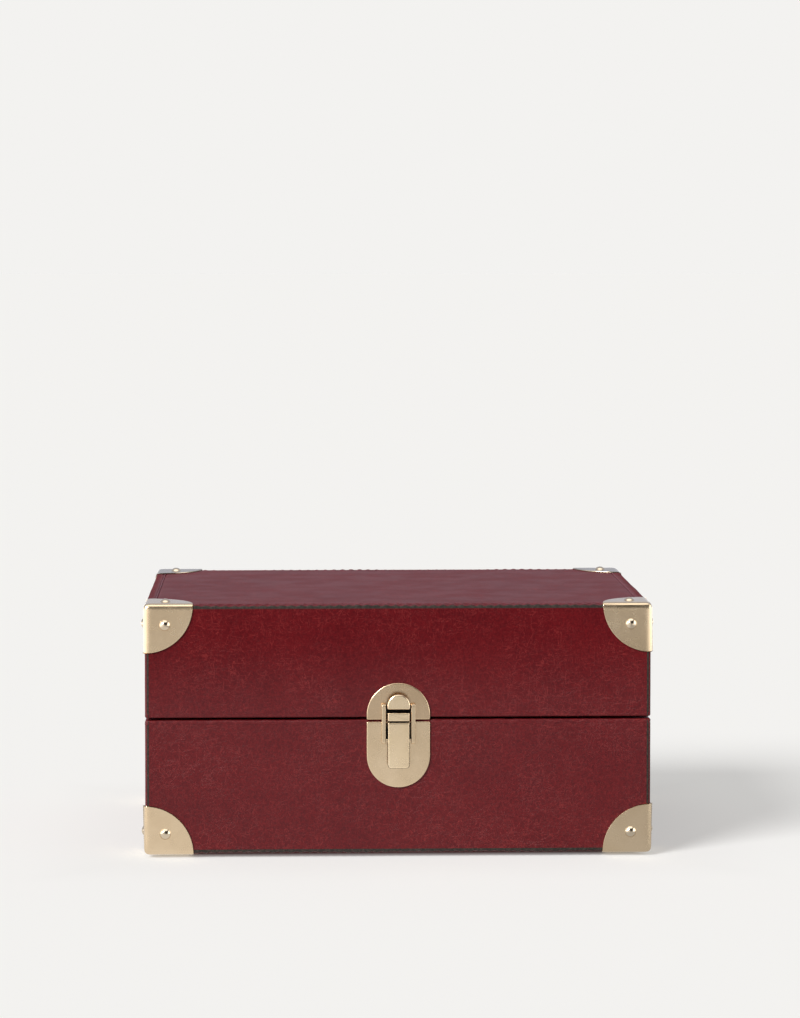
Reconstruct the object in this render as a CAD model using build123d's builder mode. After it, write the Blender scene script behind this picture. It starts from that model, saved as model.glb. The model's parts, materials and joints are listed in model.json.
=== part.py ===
"""Leather-covered jewellery case: hinged lid, draw latch, riveted metal corners, lift-out tray.

Millimetres, +Z up. The case's front faces -Y, and +X is to the right seen from the front.
The origin lies under the middle of everything, on the surface that the bottom rivets stand on.
"""

import os

from build123d import *

os.makedirs("parts", exist_ok=True)

# ---- The case's shell ----
case_width = 257.0  # over the side leathers
case_depth = 176.0  # over the front and back leathers
base_height = 68.0  # bottom leather to the base's rim
lid_height = 57.5  # lid's rim to the top leather
rim_gap = 1.2  # between the two rims, closed
leather_thick = 2.0
board_thick = 5.0  # wooden boards inside the leather
lining_thick = 1.2  # suede-covered card on the walls
pad_thick = 5.0  # padded panel inside the lid's top
floor_pad_thick = 2.0
welt_height = 2.2  # turned-over leather binding on each rim
welt_round = 0.9
corner_round = 1.6  # upright outer edges of the side leathers
edge_round = 0.9  # top and bottom leathers' outer edges

# ---- Metal corner caps and their rivets ----
cap_radius = 24.5
cap_thick = 0.8
cap_edge_round = 2.6
rivet_inset = 10.2  # rivet's centre from the leather's two edges
rivet_head_radius = 2.8
rivet_head_height = 1.5
rivet_flat_radius = 0.8  # flat at the top of the dome
rivet_shank_radius = 1.2
rivet_grip = 4.0  # length of shank in the wood
rivet_shoulder = (0.76, 0.66)  # point on the dome, as shares of the head's radius and height

# ---- Draw latch ----
latch_width = 32.3
latch_plate_thick = 1.0
latch_plate_bevel = 0.4
keeper_height = 18.8  # upper plate, round end included
keeper_drop = 1.15  # upper plate's lower edge below the lid's rim
strike_height = 33.7  # lower plate, round end included
strike_start = 0.9  # lower plate's upper edge below the base's rim
plate_corner = 0.6
stud_radius = 1.0
stud_reach = 9.0  # half the spacing of a plate's studs
keeper_stud_share = 0.55  # keeper's studs below its top, as a share of its round end
backing_thick = 1.0
backing_margin = 3.0
lever_width = 11.0
lever_thick = 1.2
lever_drop = 26.25  # lever's tip below its pivot
lever_gap = 3.05  # lever's flat starts this far below its pivot
lever_corner = 1.8
lever_bevel = 0.3
neck_overlap = 0.8  # lever's neck down into its finger plate
pivot_out = 2.9  # lever's pivot from the plate's face
pivot_rise = 1.75  # lever's pivot above the base's rim
knuckle_radius = 2.15
knuckle_half = 4.4  # lever's own knuckle, between the plate's two lugs
knuckle_side_gap = 0.2
lug_thick = 0.95
lug_depth = 7.0
lug_elbow = 0.62  # height of the lug's elbow, as a share of its depth
lug_belly = 0.35  # how far its front bulges, as a share of the knuckle
lug_root = 0.8  # lug's upper end below the plate's edge
latch_pin_radius = 0.75
running_gap = 0.05  # radial clearance of every running pin
bail_pin_out = 2.6
bail_pin_drop = 11.75  # bail's pivot below the lever's pivot
ear_thick = 1.2
ear_radius = 1.6
bail_reach = 17.2  # bail's pivot to its hooks
bail_hook_out = 2.4
bail_arm_inner = 6.2
bail_arm_wide = 2.35
bail_arm_deep = 2.0
bail_arm_over = 1.8  # arm beyond the pivot
bail_tip_over = 1.2  # arm beyond the hooks
bail_hook_radius = 0.8
bail_hook_inner = 3.7
tongue_width = 11.55
tongue_height = 7.75
tongue_thick = 1.2
tongue_bevel = 0.3
tongue_out = 4.8  # back of the keeper's tongue from its plate
tongue_rise = 3.55  # tongue's lower edge above the lever's pivot
root_width = 6.0
root_thick = 1.1

# ---- Back hinges ----
hinge_spread = 78.0  # centre of each hinge from the middle
hinge_length = 38.0
hinge_leaf_height = 17.0
hinge_leaf_thick = 1.2
hinge_barrel_radius = 2.5
hinge_axis_out = 2.7  # pin's centre behind the back leather
hinge_pin_radius = 1.1
hinge_side_gap = 0.3
hinge_clear = 0.35
hinge_knuckles = 5
screw_head_radius = 2.1
screw_head_height = 0.9
screw_shank_radius = 1.0
screw_grip = 4.0
screw_flat = 0.4  # flat of the head, as a share of its radius
screw_shoulder = (0.8, 0.7)  # point on the head, as shares of its radius and height
slot_length = 1.1  # driver's slot, as a share of the head's radius
slot_wide = 0.5
slot_deep = 0.35
screw_spread = 13.0
screw_drop = 11.0  # screws' line from the hinge pin

# ---- Lift-out tray and the base's dividers ----
tray_clear = 0.8
tray_height = 26.0
tray_below_rim = 1.0
dividers_below = 2.0  # tray's dividers below its walls' tops
tray_wall = 3.0
tray_floor = 2.5
tray_split = 18.0  # long divider's centre behind the middle
tray_cell = 38.0  # spacing of the cross dividers
roll_count = 7
roll_gap = 0.3
roll_height = 17.0
roll_length = 116.0
tab_width = 16.0
tab_thick = 1.4
tab_rise = 9.0
tab_depth = 15.0
ledge_wide = 4.0
ledge_high = 9.0
divider_thick = 3.0
divider_below_tray = 11.0  # free height over the base dividers
divider_gap = 0.3
base_split = 14.0
base_cell = 54.0

# ---- Mirror in the lid ----
mirror_width = 158.0
mirror_depth = 92.0
mirror_thick = 2.0
mirror_frame_wide = 9.0
mirror_frame_thick = 2.6
mirror_lip = 1.5
mirror_frame_corner = 3.0

# ---- Places worked out from the sizes ----
under = rivet_head_height + cap_thick
rim = under + base_height
lid_rim = rim + rim_gap
top = lid_rim + lid_height
front_out = latch_plate_thick + tongue_out + tongue_thick
back_out = hinge_axis_out + hinge_barrel_radius
middle = (front_out - back_out) / 2
left, right = -case_width / 2, case_width / 2
front, back = middle - case_depth / 2, middle + case_depth / 2
shell = leather_thick + board_thick
wall = shell + lining_thick
board_left, board_right = left + leather_thick, right - leather_thick
board_front, board_back = front + leather_thick, back - leather_thick
room_left, room_right = left + wall, right - wall
room_front, room_back = front + wall, back - wall
floor = under + shell + floor_pad_thick
ceiling = top - shell - pad_thick
plate_face = front - latch_plate_thick
hinge_axis = back + hinge_axis_out
hinge_level = rim + rim_gap / 2
pivot_y = plate_face - pivot_out
pivot_z = rim + pivot_rise
bail_y = plate_face - bail_pin_out
bail_z = pivot_z - bail_pin_drop
hook_y = plate_face - bail_hook_out
hook_z = bail_z + bail_reach
arm_outer = bail_arm_inner + bail_arm_wide


def save(name, piece):
    """Label a finished piece and write its STEP file."""
    piece.part.label = name
    export_step(piece.part, f"parts/{name}.step")


def bores(planes, radius, depth):
    """A group of cylinders that go down from the planes, to be cut from other pieces."""
    with BuildPart() as holes:
        with Locations(*planes):
            Cylinder(radius, depth, align=(Align.CENTER, Align.CENTER, Align.MAX))
    return holes.part


def panel(name, low, high, cuts=()):
    """A flat board, leather or card between two corners, less the holes that pass through it."""
    size = [b - a for a, b in zip(low, high)]
    centre = Vector(*[(a + b) / 2 for a, b in zip(low, high)])
    with BuildPart() as sheet:
        with Locations(centre):
            Box(*size)
        for cut in cuts:
            add(cut, mode=Mode.SUBTRACT)
    save(name, sheet)


def welt(name, bottom, rim_face):
    """The leather binding of one rim, rounded where it turns over the rim's outer edge."""
    with BuildPart() as ring:
        with BuildSketch(Plane.XY.offset(bottom)):
            with Locations((0, middle)):
                RectangleRounded(case_width, case_depth, corner_round)
                Rectangle(case_width - 2 * wall, case_depth - 2 * wall, mode=Mode.SUBTRACT)
        extrude(amount=welt_height)
        fillet(ring.faces().sort_by(Axis.Z)[rim_face].outer_wire().edges(), welt_round)
    save(name, ring)


# ---- Rivets: one prototype, placed three to a corner ----
rivet_length = cap_thick + leather_thick + rivet_grip
with BuildPart() as rivet:
    with BuildSketch(Plane.XZ):
        with BuildLine():
            Line((0, rivet_head_height), (rivet_flat_radius, rivet_head_height))
            ThreePointArc(
                (rivet_flat_radius, rivet_head_height),
                (rivet_head_radius * rivet_shoulder[0], rivet_head_height * rivet_shoulder[1]),
                (rivet_head_radius, 0),
            )
            Line((rivet_head_radius, 0), (rivet_shank_radius, 0))
            Line((rivet_shank_radius, 0), (rivet_shank_radius, -rivet_length))
            Line((rivet_shank_radius, -rivet_length), (0, -rivet_length))
            Line((0, -rivet_length), (0, rivet_head_height))
        make_face()
    revolve(axis=Axis.Z)


def corner_rivets(side, face, level):
    """The three rivet seats of one corner: side, front or back, and top or bottom."""
    x_edge = right if side > 0 else left
    y_edge = back if face > 0 else front
    z_edge = top if level > 0 else under
    x, y, z = x_edge - side * rivet_inset, y_edge - face * rivet_inset, z_edge - level * rivet_inset
    return (
        Plane((x_edge + side * cap_thick, y, z), x_dir=(0, 1, 0), z_dir=(side, 0, 0)),
        Plane((x, y_edge + face * cap_thick, z), x_dir=(1, 0, 0), z_dir=(0, face, 0)),
        Plane((x, y, z_edge + level * cap_thick), x_dir=(1, 0, 0), z_dir=(0, 0, level)),
    )


corners = {
    "front_left": (-1, -1),
    "front_right": (1, -1),
    "rear_left": (-1, 1),
    "rear_right": (1, 1),
}
seats = {
    "base": [seat for side, face in corners.values() for seat in corner_rivets(side, face, -1)],
    "lid": [seat for side, face in corners.values() for seat in corner_rivets(side, face, 1)],
}
for part_name, planes in seats.items():
    with BuildPart() as rivets:
        with Locations(*planes):
            add(rivet.part)
    save(f"{part_name}_cap_rivets", rivets)
rivet_holes = {key: bores(planes, rivet_shank_radius, rivet_length) for key, planes in seats.items()}

# ---- Corner caps: a rounded metal skin over the case's corner, cut to a ball round the corner ----
case_middle = (0, middle, (under + top) / 2)
with BuildPart() as case_block:
    with Locations(case_middle):
        Box(case_width, case_depth, top - under)
    fillet(case_block.edges(), edge_round)
with BuildPart() as cap_skin:
    with Locations(case_middle):
        Box(case_width + 2 * cap_thick, case_depth + 2 * cap_thick, top - under + 2 * cap_thick)
    fillet(cap_skin.edges(), cap_edge_round)
    add(case_block.part, mode=Mode.SUBTRACT)

for part_name, level in (("base", -1), ("lid", 1)):
    for corner_name, (side, face) in corners.items():
        place = (
            right if side > 0 else left,
            back if face > 0 else front,
            top if level > 0 else under,
        )
        with BuildPart() as cap:
            with Locations(place):
                Sphere(cap_radius)
            add(cap_skin.part, mode=Mode.INTERSECT)
            add(rivet_holes[part_name], mode=Mode.SUBTRACT)
        save(f"{part_name}_cap_{corner_name}", cap)

# ---- Latch: places of the studs that hold its plates through the wall ----
strike_top = rim - strike_start
strike_low = strike_top - strike_height
keeper_low = lid_rim - keeper_drop
keeper_top = keeper_low + keeper_height
round_end = latch_width / 2
strike_stud_z = (strike_top + strike_low) / 2
keeper_stud_z = keeper_top - round_end * keeper_stud_share
stud_length = leather_thick + board_thick - backing_thick


def stud_planes(level):
    """The two stud places of a latch plate, on the leather, looking out of the case."""
    return [Plane((x, front, level), x_dir=(1, 0, 0), z_dir=(0, -1, 0)) for x in (-stud_reach, stud_reach)]


stud_holes = {
    "base": bores(stud_planes(strike_stud_z), stud_radius, shell),
    "lid": bores(stud_planes(keeper_stud_z), stud_radius, shell),
}
backing_pockets = {}
for part_name, level in (("base", strike_stud_z), ("lid", keeper_stud_z)):
    with BuildPart() as backing:
        with Locations((0, board_front + board_thick - backing_thick / 2, level)):
            Box(2 * (stud_reach + backing_margin), backing_thick, 2 * (stud_radius + backing_margin))
    backing_pockets[part_name] = backing.part
    save(f"{'latch' if part_name == 'base' else 'keeper'}_backing_plate", backing)

# ---- Hinge screws ----
screw_planes = {"base": [], "lid": []}
for part_name, way in (("base", -1), ("lid", 1)):
    for hinge_x in (-hinge_spread, hinge_spread):
        for step in (-1, 0, 1):
            seat = (hinge_x + step * screw_spread, back + hinge_leaf_thick, hinge_level + way * screw_drop)
            screw_planes[part_name].append(Plane(seat, x_dir=(1, 0, 0), z_dir=(0, 1, 0)))
screw_length = hinge_leaf_thick + leather_thick + screw_grip
screw_holes = {key: bores(planes, screw_shank_radius, screw_length) for key, planes in screw_planes.items()}

with BuildPart() as screw:
    with BuildSketch(Plane.XZ):
        with BuildLine():
            Line((0, screw_head_height), (screw_head_radius * screw_flat, screw_head_height))
            ThreePointArc(
                (screw_head_radius * screw_flat, screw_head_height),
                (screw_head_radius * screw_shoulder[0], screw_head_height * screw_shoulder[1]),
                (screw_head_radius, 0),
            )
            Line((screw_head_radius, 0), (screw_shank_radius, 0))
            Line((screw_shank_radius, 0), (screw_shank_radius, -screw_length))
            Line((screw_shank_radius, -screw_length), (0, -screw_length))
            Line((0, -screw_length), (0, screw_head_height))
        make_face()
    revolve(axis=Axis.Z)
    with Locations((0, 0, screw_head_height)):
        Box(screw_head_radius * slot_length, slot_wide, 2 * slot_deep, mode=Mode.SUBTRACT)
for part_name, planes in screw_planes.items():
    with BuildPart() as screws:
        with Locations(*planes):
            add(screw.part)
    save(f"{part_name}_hinge_screws", screws)

# ---- Wooden boards and outer leathers of the base and of the lid ----
parts_z = {
    "base": (under + leather_thick, rim - welt_height),
    "lid": (lid_rim + welt_height, top - leather_thick),
}
for part_name, (low, high) in parts_z.items():
    pins = rivet_holes[part_name]
    latch_holes = stud_holes[part_name]
    hinge_holes = screw_holes[part_name]
    pocket = backing_pockets[part_name]
    panel(
        f"{part_name}_front_board",
        (board_left, board_front, low),
        (board_right, board_front + board_thick, high),
        (pins, latch_holes, pocket),
    )
    panel(
        f"{part_name}_back_board",
        (board_left, board_back - board_thick, low),
        (board_right, board_back, high),
        (pins, hinge_holes),
    )
    with BuildPart() as side_boards:
        for x in (board_left + board_thick / 2, board_right - board_thick / 2):
            with Locations((x, middle, (low + high) / 2)):
                Box(board_thick, case_depth - 2 * shell, high - low)
        add(pins, mode=Mode.SUBTRACT)
    save(f"{part_name}_side_boards", side_boards)
    flat_low = low if part_name == "base" else high - board_thick
    panel(
        "base_floor_board" if part_name == "base" else "lid_top_board",
        (left + shell, front + shell, flat_low),
        (right - shell, back - shell, flat_low + board_thick),
        (pins,),
    )
    panel(
        f"{part_name}_front_leather",
        (board_left, front, low),
        (board_right, board_front, high),
        (pins, latch_holes),
    )
    panel(
        f"{part_name}_back_leather",
        (board_left, board_back, low),
        (board_right, back, high),
        (pins, hinge_holes),
    )
    for side_name, edge, inner in (("left", left, board_left), ("right", right, board_right)):
        with BuildPart() as side_leather:
            with BuildSketch(Plane.XY.offset(low)):
                with Locations(((edge + inner) / 2, middle)):
                    Rectangle(leather_thick, case_depth)
            extrude(amount=high - low)
            outer = side_leather.faces().sort_by(Axis.X)[0 if edge < 0 else -1]
            fillet(outer.edges().filter_by(Axis.Z), corner_round)
            add(pins, mode=Mode.SUBTRACT)
        save(f"{part_name}_{side_name}_leather", side_leather)
    flat_leather_low = under if part_name == "base" else top - leather_thick
    with BuildPart() as flat_leather:
        with BuildSketch(Plane.XY.offset(flat_leather_low)):
            with Locations((0, middle)):
                RectangleRounded(case_width, case_depth, corner_round)
        extrude(amount=leather_thick)
        outer = flat_leather.faces().sort_by(Axis.Z)[0 if part_name == "base" else -1]
        fillet(outer.edges(), edge_round)
        add(pins, mode=Mode.SUBTRACT)
    save("base_bottom_leather" if part_name == "base" else "lid_top_leather", flat_leather)

welt("base_rim_welt", rim - welt_height, -1)
welt("lid_rim_welt", lid_rim, 0)

# ---- Linings: suede-covered card on the walls, a floor pad and a padded panel in the lid ----
board_floor = under + shell
for name, low, high in (
    ("base_wall_lining", board_floor, rim - welt_height),
    ("lid_wall_lining", lid_rim + welt_height, top - shell),
):
    with BuildPart() as lining:
        with BuildSketch(Plane.XY.offset(low)):
            with Locations((0, middle)):
                Rectangle(case_width - 2 * shell, case_depth - 2 * shell)
                Rectangle(case_width - 2 * wall, case_depth - 2 * wall, mode=Mode.SUBTRACT)
        extrude(amount=high - low)
    save(name, lining)
panel("base_floor_pad", (room_left, room_front, board_floor), (room_right, room_back, floor))
panel("lid_pad", (room_left, room_front, ceiling), (room_right, room_back, ceiling + pad_thick))

# ---- Mirror, held to the lid pad by a leather frame with a lip over the glass ----
frame_width, frame_depth = mirror_width + 2 * mirror_frame_wide, mirror_depth + 2 * mirror_frame_wide
with BuildPart() as mirror_frame:
    with BuildSketch(Plane.XY.offset(ceiling)):
        with Locations((0, middle)):
            RectangleRounded(frame_width, frame_depth, mirror_frame_corner)
            Rectangle(mirror_width, mirror_depth, mode=Mode.SUBTRACT)
    extrude(amount=-mirror_thick)
    with BuildSketch(Plane.XY.offset(ceiling - mirror_thick)):
        with Locations((0, middle)):
            RectangleRounded(frame_width, frame_depth, mirror_frame_corner)
            Rectangle(mirror_width - 2 * mirror_lip, mirror_depth - 2 * mirror_lip, mode=Mode.SUBTRACT)
    extrude(amount=mirror_thick - mirror_frame_thick)
save("mirror_frame", mirror_frame)
with BuildPart() as mirror_glass:
    with BuildSketch(Plane.XY.offset(ceiling)):
        with Locations((0, middle)):
            Rectangle(mirror_width, mirror_depth)
    extrude(amount=-mirror_thick)
save("mirror_glass", mirror_glass)

# ---- Lower latch plate with its two lugs, studs behind ----
lug_outer = knuckle_half + knuckle_side_gap + lug_thick
with BuildPart() as latch_plate:
    with BuildSketch(Plane.XZ.offset(-front)):
        with Locations((0, strike_low + round_end)):
            Circle(round_end)
        with Locations((0, (strike_low + round_end + strike_top) / 2)):
            Rectangle(latch_width, strike_top - strike_low - round_end)
        fillet(vertices().group_by(Axis.Y)[-1], plate_corner)
    extrude(amount=latch_plate_thick)
    chamfer(latch_plate.faces().sort_by(Axis.Y)[0].outer_wire().edges(), latch_plate_bevel)
    for x_low in (-lug_outer, lug_outer - lug_thick):
        with BuildSketch(Plane.YZ.offset(x_low)):
            with Locations((pivot_y, pivot_z)):
                Circle(knuckle_radius)
            with BuildLine():
                Polyline(
                    (plate_face, pivot_z - lug_depth),
                    (pivot_y, pivot_z - lug_depth * lug_elbow),
                    (pivot_y - knuckle_radius * lug_belly, pivot_z),
                    (pivot_y + knuckle_radius, pivot_z),
                    (plate_face, strike_top - lug_root),
                    close=True,
                )
            make_face()
            with Locations((pivot_y, pivot_z)):
                Circle(latch_pin_radius, mode=Mode.SUBTRACT)
        extrude(amount=lug_thick)
    with Locations(*stud_planes(strike_stud_z)):
        Cylinder(stud_radius, stud_length, align=(Align.CENTER, Align.CENTER, Align.MAX))
save("latch_plate", latch_plate)

with BuildPart() as lever_pin:
    with Locations((0, pivot_y, pivot_z)):
        Cylinder(latch_pin_radius, 2 * lug_outer, rotation=(0, 90, 0))
save("lever_pin", lever_pin)

# ---- Lever: flat finger plate, rolled knuckle and two ears for the bail's pin ----
lever_face = pivot_y - knuckle_radius
with BuildPart() as lever:
    with BuildSketch(Plane.XZ.offset(-lever_face - lever_thick)):
        with Locations((0, pivot_z - (lever_gap + lever_drop) / 2)):
            Rectangle(lever_width, lever_drop - lever_gap)
        fillet(vertices().group_by(Axis.Y)[0], lever_corner)
    extrude(amount=lever_thick)
    chamfer(lever.faces().sort_by(Axis.Y)[0].outer_wire().edges(), lever_bevel)
    with BuildSketch(Plane.YZ.offset(-knuckle_half)):
        with Locations((pivot_y, pivot_z)):
            Circle(knuckle_radius)
        with Locations((lever_face + lever_thick / 2, pivot_z - (lever_gap + neck_overlap) / 2)):
            Rectangle(lever_thick, lever_gap + neck_overlap)
        with Locations((pivot_y, pivot_z)):
            Circle(latch_pin_radius + running_gap, mode=Mode.SUBTRACT)
    extrude(amount=2 * knuckle_half)
    for x_low in (-lever_width / 2, lever_width / 2 - ear_thick):
        with BuildSketch(Plane.YZ.offset(x_low)):
            with Locations((bail_y, bail_z)):
                Circle(ear_radius)
            with Locations(((bail_y + lever_face + lever_thick) / 2, bail_z)):
                Rectangle(abs(bail_y - lever_face - lever_thick), 2 * ear_radius)
            with Locations((bail_y, bail_z)):
                Circle(latch_pin_radius + running_gap, mode=Mode.SUBTRACT)
        extrude(amount=ear_thick)
save("lever", lever)

# ---- Bail: two arms on one pin, each with a hook behind the keeper's tongue ----
with BuildPart() as bail_pin:
    with Locations((0, bail_y, bail_z)):
        Cylinder(latch_pin_radius, 2 * arm_outer, rotation=(0, 90, 0))
save("bail_pin", bail_pin)
arm_low, arm_high = bail_z - bail_arm_over, hook_z + bail_tip_over
for side_name, way in (("left", -1), ("right", 1)):
    with BuildPart() as arm:
        with BuildSketch(Plane.YZ.offset(way * bail_arm_inner)):
            with Locations(((bail_y + hook_y) / 2, (arm_low + arm_high) / 2)):
                SlotOverall(arm_high - arm_low, bail_arm_deep, rotation=90)
            with Locations((bail_y, bail_z)):
                Circle(latch_pin_radius, mode=Mode.SUBTRACT)
        extrude(amount=way * bail_arm_wide)
        with BuildSketch(Plane.YZ.offset(way * bail_hook_inner)):
            with Locations((hook_y, hook_z)):
                Circle(bail_hook_radius)
        extrude(amount=way * (bail_arm_inner - bail_hook_inner))
    save(f"bail_arm_{side_name}", arm)

# ---- Keeper: upper latch plate with its hooked tongue ----
tongue_low = pivot_z + tongue_rise
tongue_round = tongue_width / 2
with BuildPart() as keeper:
    with BuildSketch(Plane.XZ.offset(-front)):
        with Locations((0, keeper_top - round_end)):
            Circle(round_end)
        with Locations((0, (keeper_top - round_end + keeper_low) / 2 - round_end)):
            Rectangle(latch_width, keeper_top - round_end - keeper_low + 2 * round_end)
        with Locations((0, keeper_low - round_end)):
            Rectangle(2 * latch_width, 2 * round_end, mode=Mode.SUBTRACT)
        fillet(vertices().group_by(Axis.Y)[0], plate_corner)
    extrude(amount=latch_plate_thick)
    chamfer(keeper.faces().sort_by(Axis.Y)[0].outer_wire().edges(), latch_plate_bevel)
    with BuildSketch(Plane.XZ.offset(-plate_face)):
        with Locations((0, tongue_low + root_thick / 2)):
            Rectangle(root_width, root_thick)
    extrude(amount=tongue_out)
    with BuildSketch(Plane.XZ.offset(-plate_face + tongue_out)):
        with Locations((0, tongue_low + tongue_height - tongue_round)):
            Circle(tongue_round)
        with Locations((0, tongue_low + (tongue_height - tongue_round) / 2)):
            Rectangle(tongue_width, tongue_height - tongue_round)
        with Locations((0, tongue_low - tongue_round)):
            Rectangle(2 * tongue_width, 2 * tongue_round, mode=Mode.SUBTRACT)
    extrude(amount=tongue_thick)
    chamfer(keeper.faces().sort_by(Axis.Y)[0].outer_wire().edges(), tongue_bevel)
    with Locations(*stud_planes(keeper_stud_z)):
        Cylinder(stud_radius, stud_length, align=(Align.CENTER, Align.CENTER, Align.MAX))
save("keeper_plate", keeper)

# ---- Hinges: leaves on the back, knuckles in turn along one pin ----
knuckle_step = (hinge_length + hinge_side_gap) / hinge_knuckles
knuckle_length = knuckle_step - hinge_side_gap
leaf_start = hinge_barrel_radius + hinge_clear


def leaves(name, way, first):
    """Both leaves of one half: way is down (-1) or up (+1), first is its first knuckle."""
    with BuildPart() as halves:
        for hinge_x in (-hinge_spread, hinge_spread):
            with Locations((hinge_x, back + hinge_leaf_thick / 2, hinge_level)):
                with Locations((0, 0, way * (leaf_start + hinge_leaf_height) / 2)):
                    Box(hinge_length, hinge_leaf_thick, hinge_leaf_height - leaf_start)
            for index in range(first, hinge_knuckles, 2):
                x_low = hinge_x - hinge_length / 2 + index * knuckle_step
                with BuildSketch(Plane.YZ.offset(x_low)):
                    with Locations((hinge_axis, hinge_level)):
                        Circle(hinge_barrel_radius)
                    with Locations((back + hinge_leaf_thick / 2, hinge_level + way * leaf_start / 2)):
                        Rectangle(hinge_leaf_thick, leaf_start)
                    with Locations((hinge_axis, hinge_level)):
                        Circle(hinge_pin_radius + (running_gap if way > 0 else 0), mode=Mode.SUBTRACT)
                extrude(amount=knuckle_length)
        add(screw_holes["lid" if way > 0 else "base"], mode=Mode.SUBTRACT)
    save(name, halves)


leaves("base_hinge_leaves", -1, 0)
leaves("lid_hinge_leaves", 1, 1)
with BuildPart() as hinge_pins:
    with Locations((-hinge_spread, hinge_axis, hinge_level), (hinge_spread, hinge_axis, hinge_level)):
        Cylinder(hinge_pin_radius, hinge_length, rotation=(0, 90, 0))
save("hinge_pins", hinge_pins)

# ---- Tray: floor, walls, dividers, ring rolls and pull tabs ----
tray_left, tray_right = room_left + tray_clear, room_right - tray_clear
tray_front, tray_back = room_front + tray_clear, room_back - tray_clear
tray_top = rim - tray_below_rim
tray_low = tray_top - tray_height
tray_deck = tray_low + tray_floor
cell_top = tray_top - dividers_below
split_y = middle + tray_split
panel("tray_floor", (tray_left, tray_front, tray_low), (tray_right, tray_back, tray_deck))
with BuildPart() as tray_long_walls:
    for y in (tray_front + tray_wall / 2, tray_back - tray_wall / 2):
        with Locations((0, y, (tray_deck + tray_top) / 2)):
            Box(tray_right - tray_left, tray_wall, tray_top - tray_deck)
save("tray_long_walls", tray_long_walls)
with BuildPart() as tray_sides:
    for x in (tray_left + tray_wall / 2, tray_right - tray_wall / 2):
        with Locations((x, middle, (tray_deck + tray_top) / 2)):
            Box(tray_wall, tray_back - tray_front - 2 * tray_wall, tray_top - tray_deck)
save("tray_side_walls", tray_sides)
panel(
    "tray_long_divider",
    (tray_left + tray_wall, split_y - divider_thick / 2, tray_deck),
    (tray_right - tray_wall, split_y + divider_thick / 2, cell_top),
)
roll_end = tray_left + tray_wall + roll_length + divider_gap
with BuildPart() as tray_cross:
    back_length = tray_back - tray_wall - split_y - divider_thick / 2
    back_middle = split_y + divider_thick / 2 + back_length / 2
    for step in (-2, -1, 0, 1, 2):
        with Locations((step * tray_cell, back_middle, (tray_deck + cell_top) / 2)):
            Box(divider_thick, back_length, cell_top - tray_deck)
    front_length = split_y - divider_thick / 2 - tray_front - tray_wall
    front_middle = tray_front + tray_wall + front_length / 2
    with Locations((roll_end + divider_thick / 2, front_middle, (tray_deck + cell_top) / 2)):
        Box(divider_thick, front_length, cell_top - tray_deck)
save("tray_cross_dividers", tray_cross)
roll_pitch = (front_length - roll_gap) / roll_count
roll_width = roll_pitch - roll_gap
with BuildPart() as ring_rolls:
    for index in range(roll_count):
        roll_y = tray_front + tray_wall + roll_gap + index * roll_pitch + roll_width / 2
        with BuildSketch(Plane.YZ.offset(tray_left + tray_wall + divider_gap / 2)):
            with Locations((roll_y, tray_deck + roll_height - roll_width / 2)):
                Circle(roll_width / 2)
            with Locations((roll_y, tray_deck + (roll_height - roll_width / 2) / 2)):
                Rectangle(roll_width, roll_height - roll_width / 2)
        extrude(amount=roll_length)
save("ring_rolls", ring_rolls)
with BuildPart() as tabs:
    for x in (tray_left + tray_wall + tab_thick / 2, tray_right - tray_wall - tab_thick / 2):
        with BuildSketch(Plane.YZ.offset(x - tab_thick / 2)):
            with Locations((back_middle, tray_top + (tab_rise - tab_depth) / 2)):
                SlotOverall(tab_rise + tab_depth, tab_width, rotation=90)
        extrude(amount=tab_thick)
save("tray_pull_tabs", tabs)

# ---- Ledges that carry the tray, and the base's dividers ----
with BuildPart() as ledges:
    for x in (room_left + ledge_wide / 2, room_right - ledge_wide / 2):
        with Locations((x, middle, tray_low - ledge_high / 2)):
            Box(ledge_wide, room_back - room_front, ledge_high)
save("tray_ledges", ledges)
base_split_y = middle + base_split
divider_top = tray_low - divider_below_tray
panel(
    "base_long_divider",
    (room_left, base_split_y - divider_thick / 2, floor),
    (room_right, base_split_y + divider_thick / 2, divider_top),
)
with BuildPart() as base_cross:
    length = base_split_y - divider_thick / 2 - room_front
    for x in (-base_cell / 2, base_cell / 2):
        with Locations((x, room_front + length / 2, (floor + divider_top) / 2)):
            Box(divider_thick, length, divider_top - floor)
save("base_cross_dividers", base_cross)
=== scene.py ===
"""Leather jewellery case: hinged lid, draw latch, riveted metal corners, mirror and lift-out tray."""

from __future__ import annotations

import json
import logging
import math
from contextlib import contextmanager
from dataclasses import dataclass
from enum import Enum
from typing import Any, Callable, Iterator, Sequence

import bmesh
import bpy
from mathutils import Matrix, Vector


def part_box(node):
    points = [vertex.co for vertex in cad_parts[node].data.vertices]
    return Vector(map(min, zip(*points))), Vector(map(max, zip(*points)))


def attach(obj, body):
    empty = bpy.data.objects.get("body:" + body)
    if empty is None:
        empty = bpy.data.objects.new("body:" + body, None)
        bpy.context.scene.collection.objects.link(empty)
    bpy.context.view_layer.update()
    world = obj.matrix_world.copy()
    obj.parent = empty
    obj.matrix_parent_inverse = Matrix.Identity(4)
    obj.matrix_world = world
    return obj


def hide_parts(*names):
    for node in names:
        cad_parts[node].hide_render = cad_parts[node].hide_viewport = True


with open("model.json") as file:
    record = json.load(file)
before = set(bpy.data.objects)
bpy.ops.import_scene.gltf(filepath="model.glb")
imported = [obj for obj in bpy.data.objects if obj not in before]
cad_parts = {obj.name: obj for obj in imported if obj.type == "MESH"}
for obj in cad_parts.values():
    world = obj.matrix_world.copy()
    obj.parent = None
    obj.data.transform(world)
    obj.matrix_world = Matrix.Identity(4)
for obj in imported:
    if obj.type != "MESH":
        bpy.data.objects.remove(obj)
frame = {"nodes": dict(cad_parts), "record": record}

LOG = logging.getLogger("jewellery_case")
MM = 0.001
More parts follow.
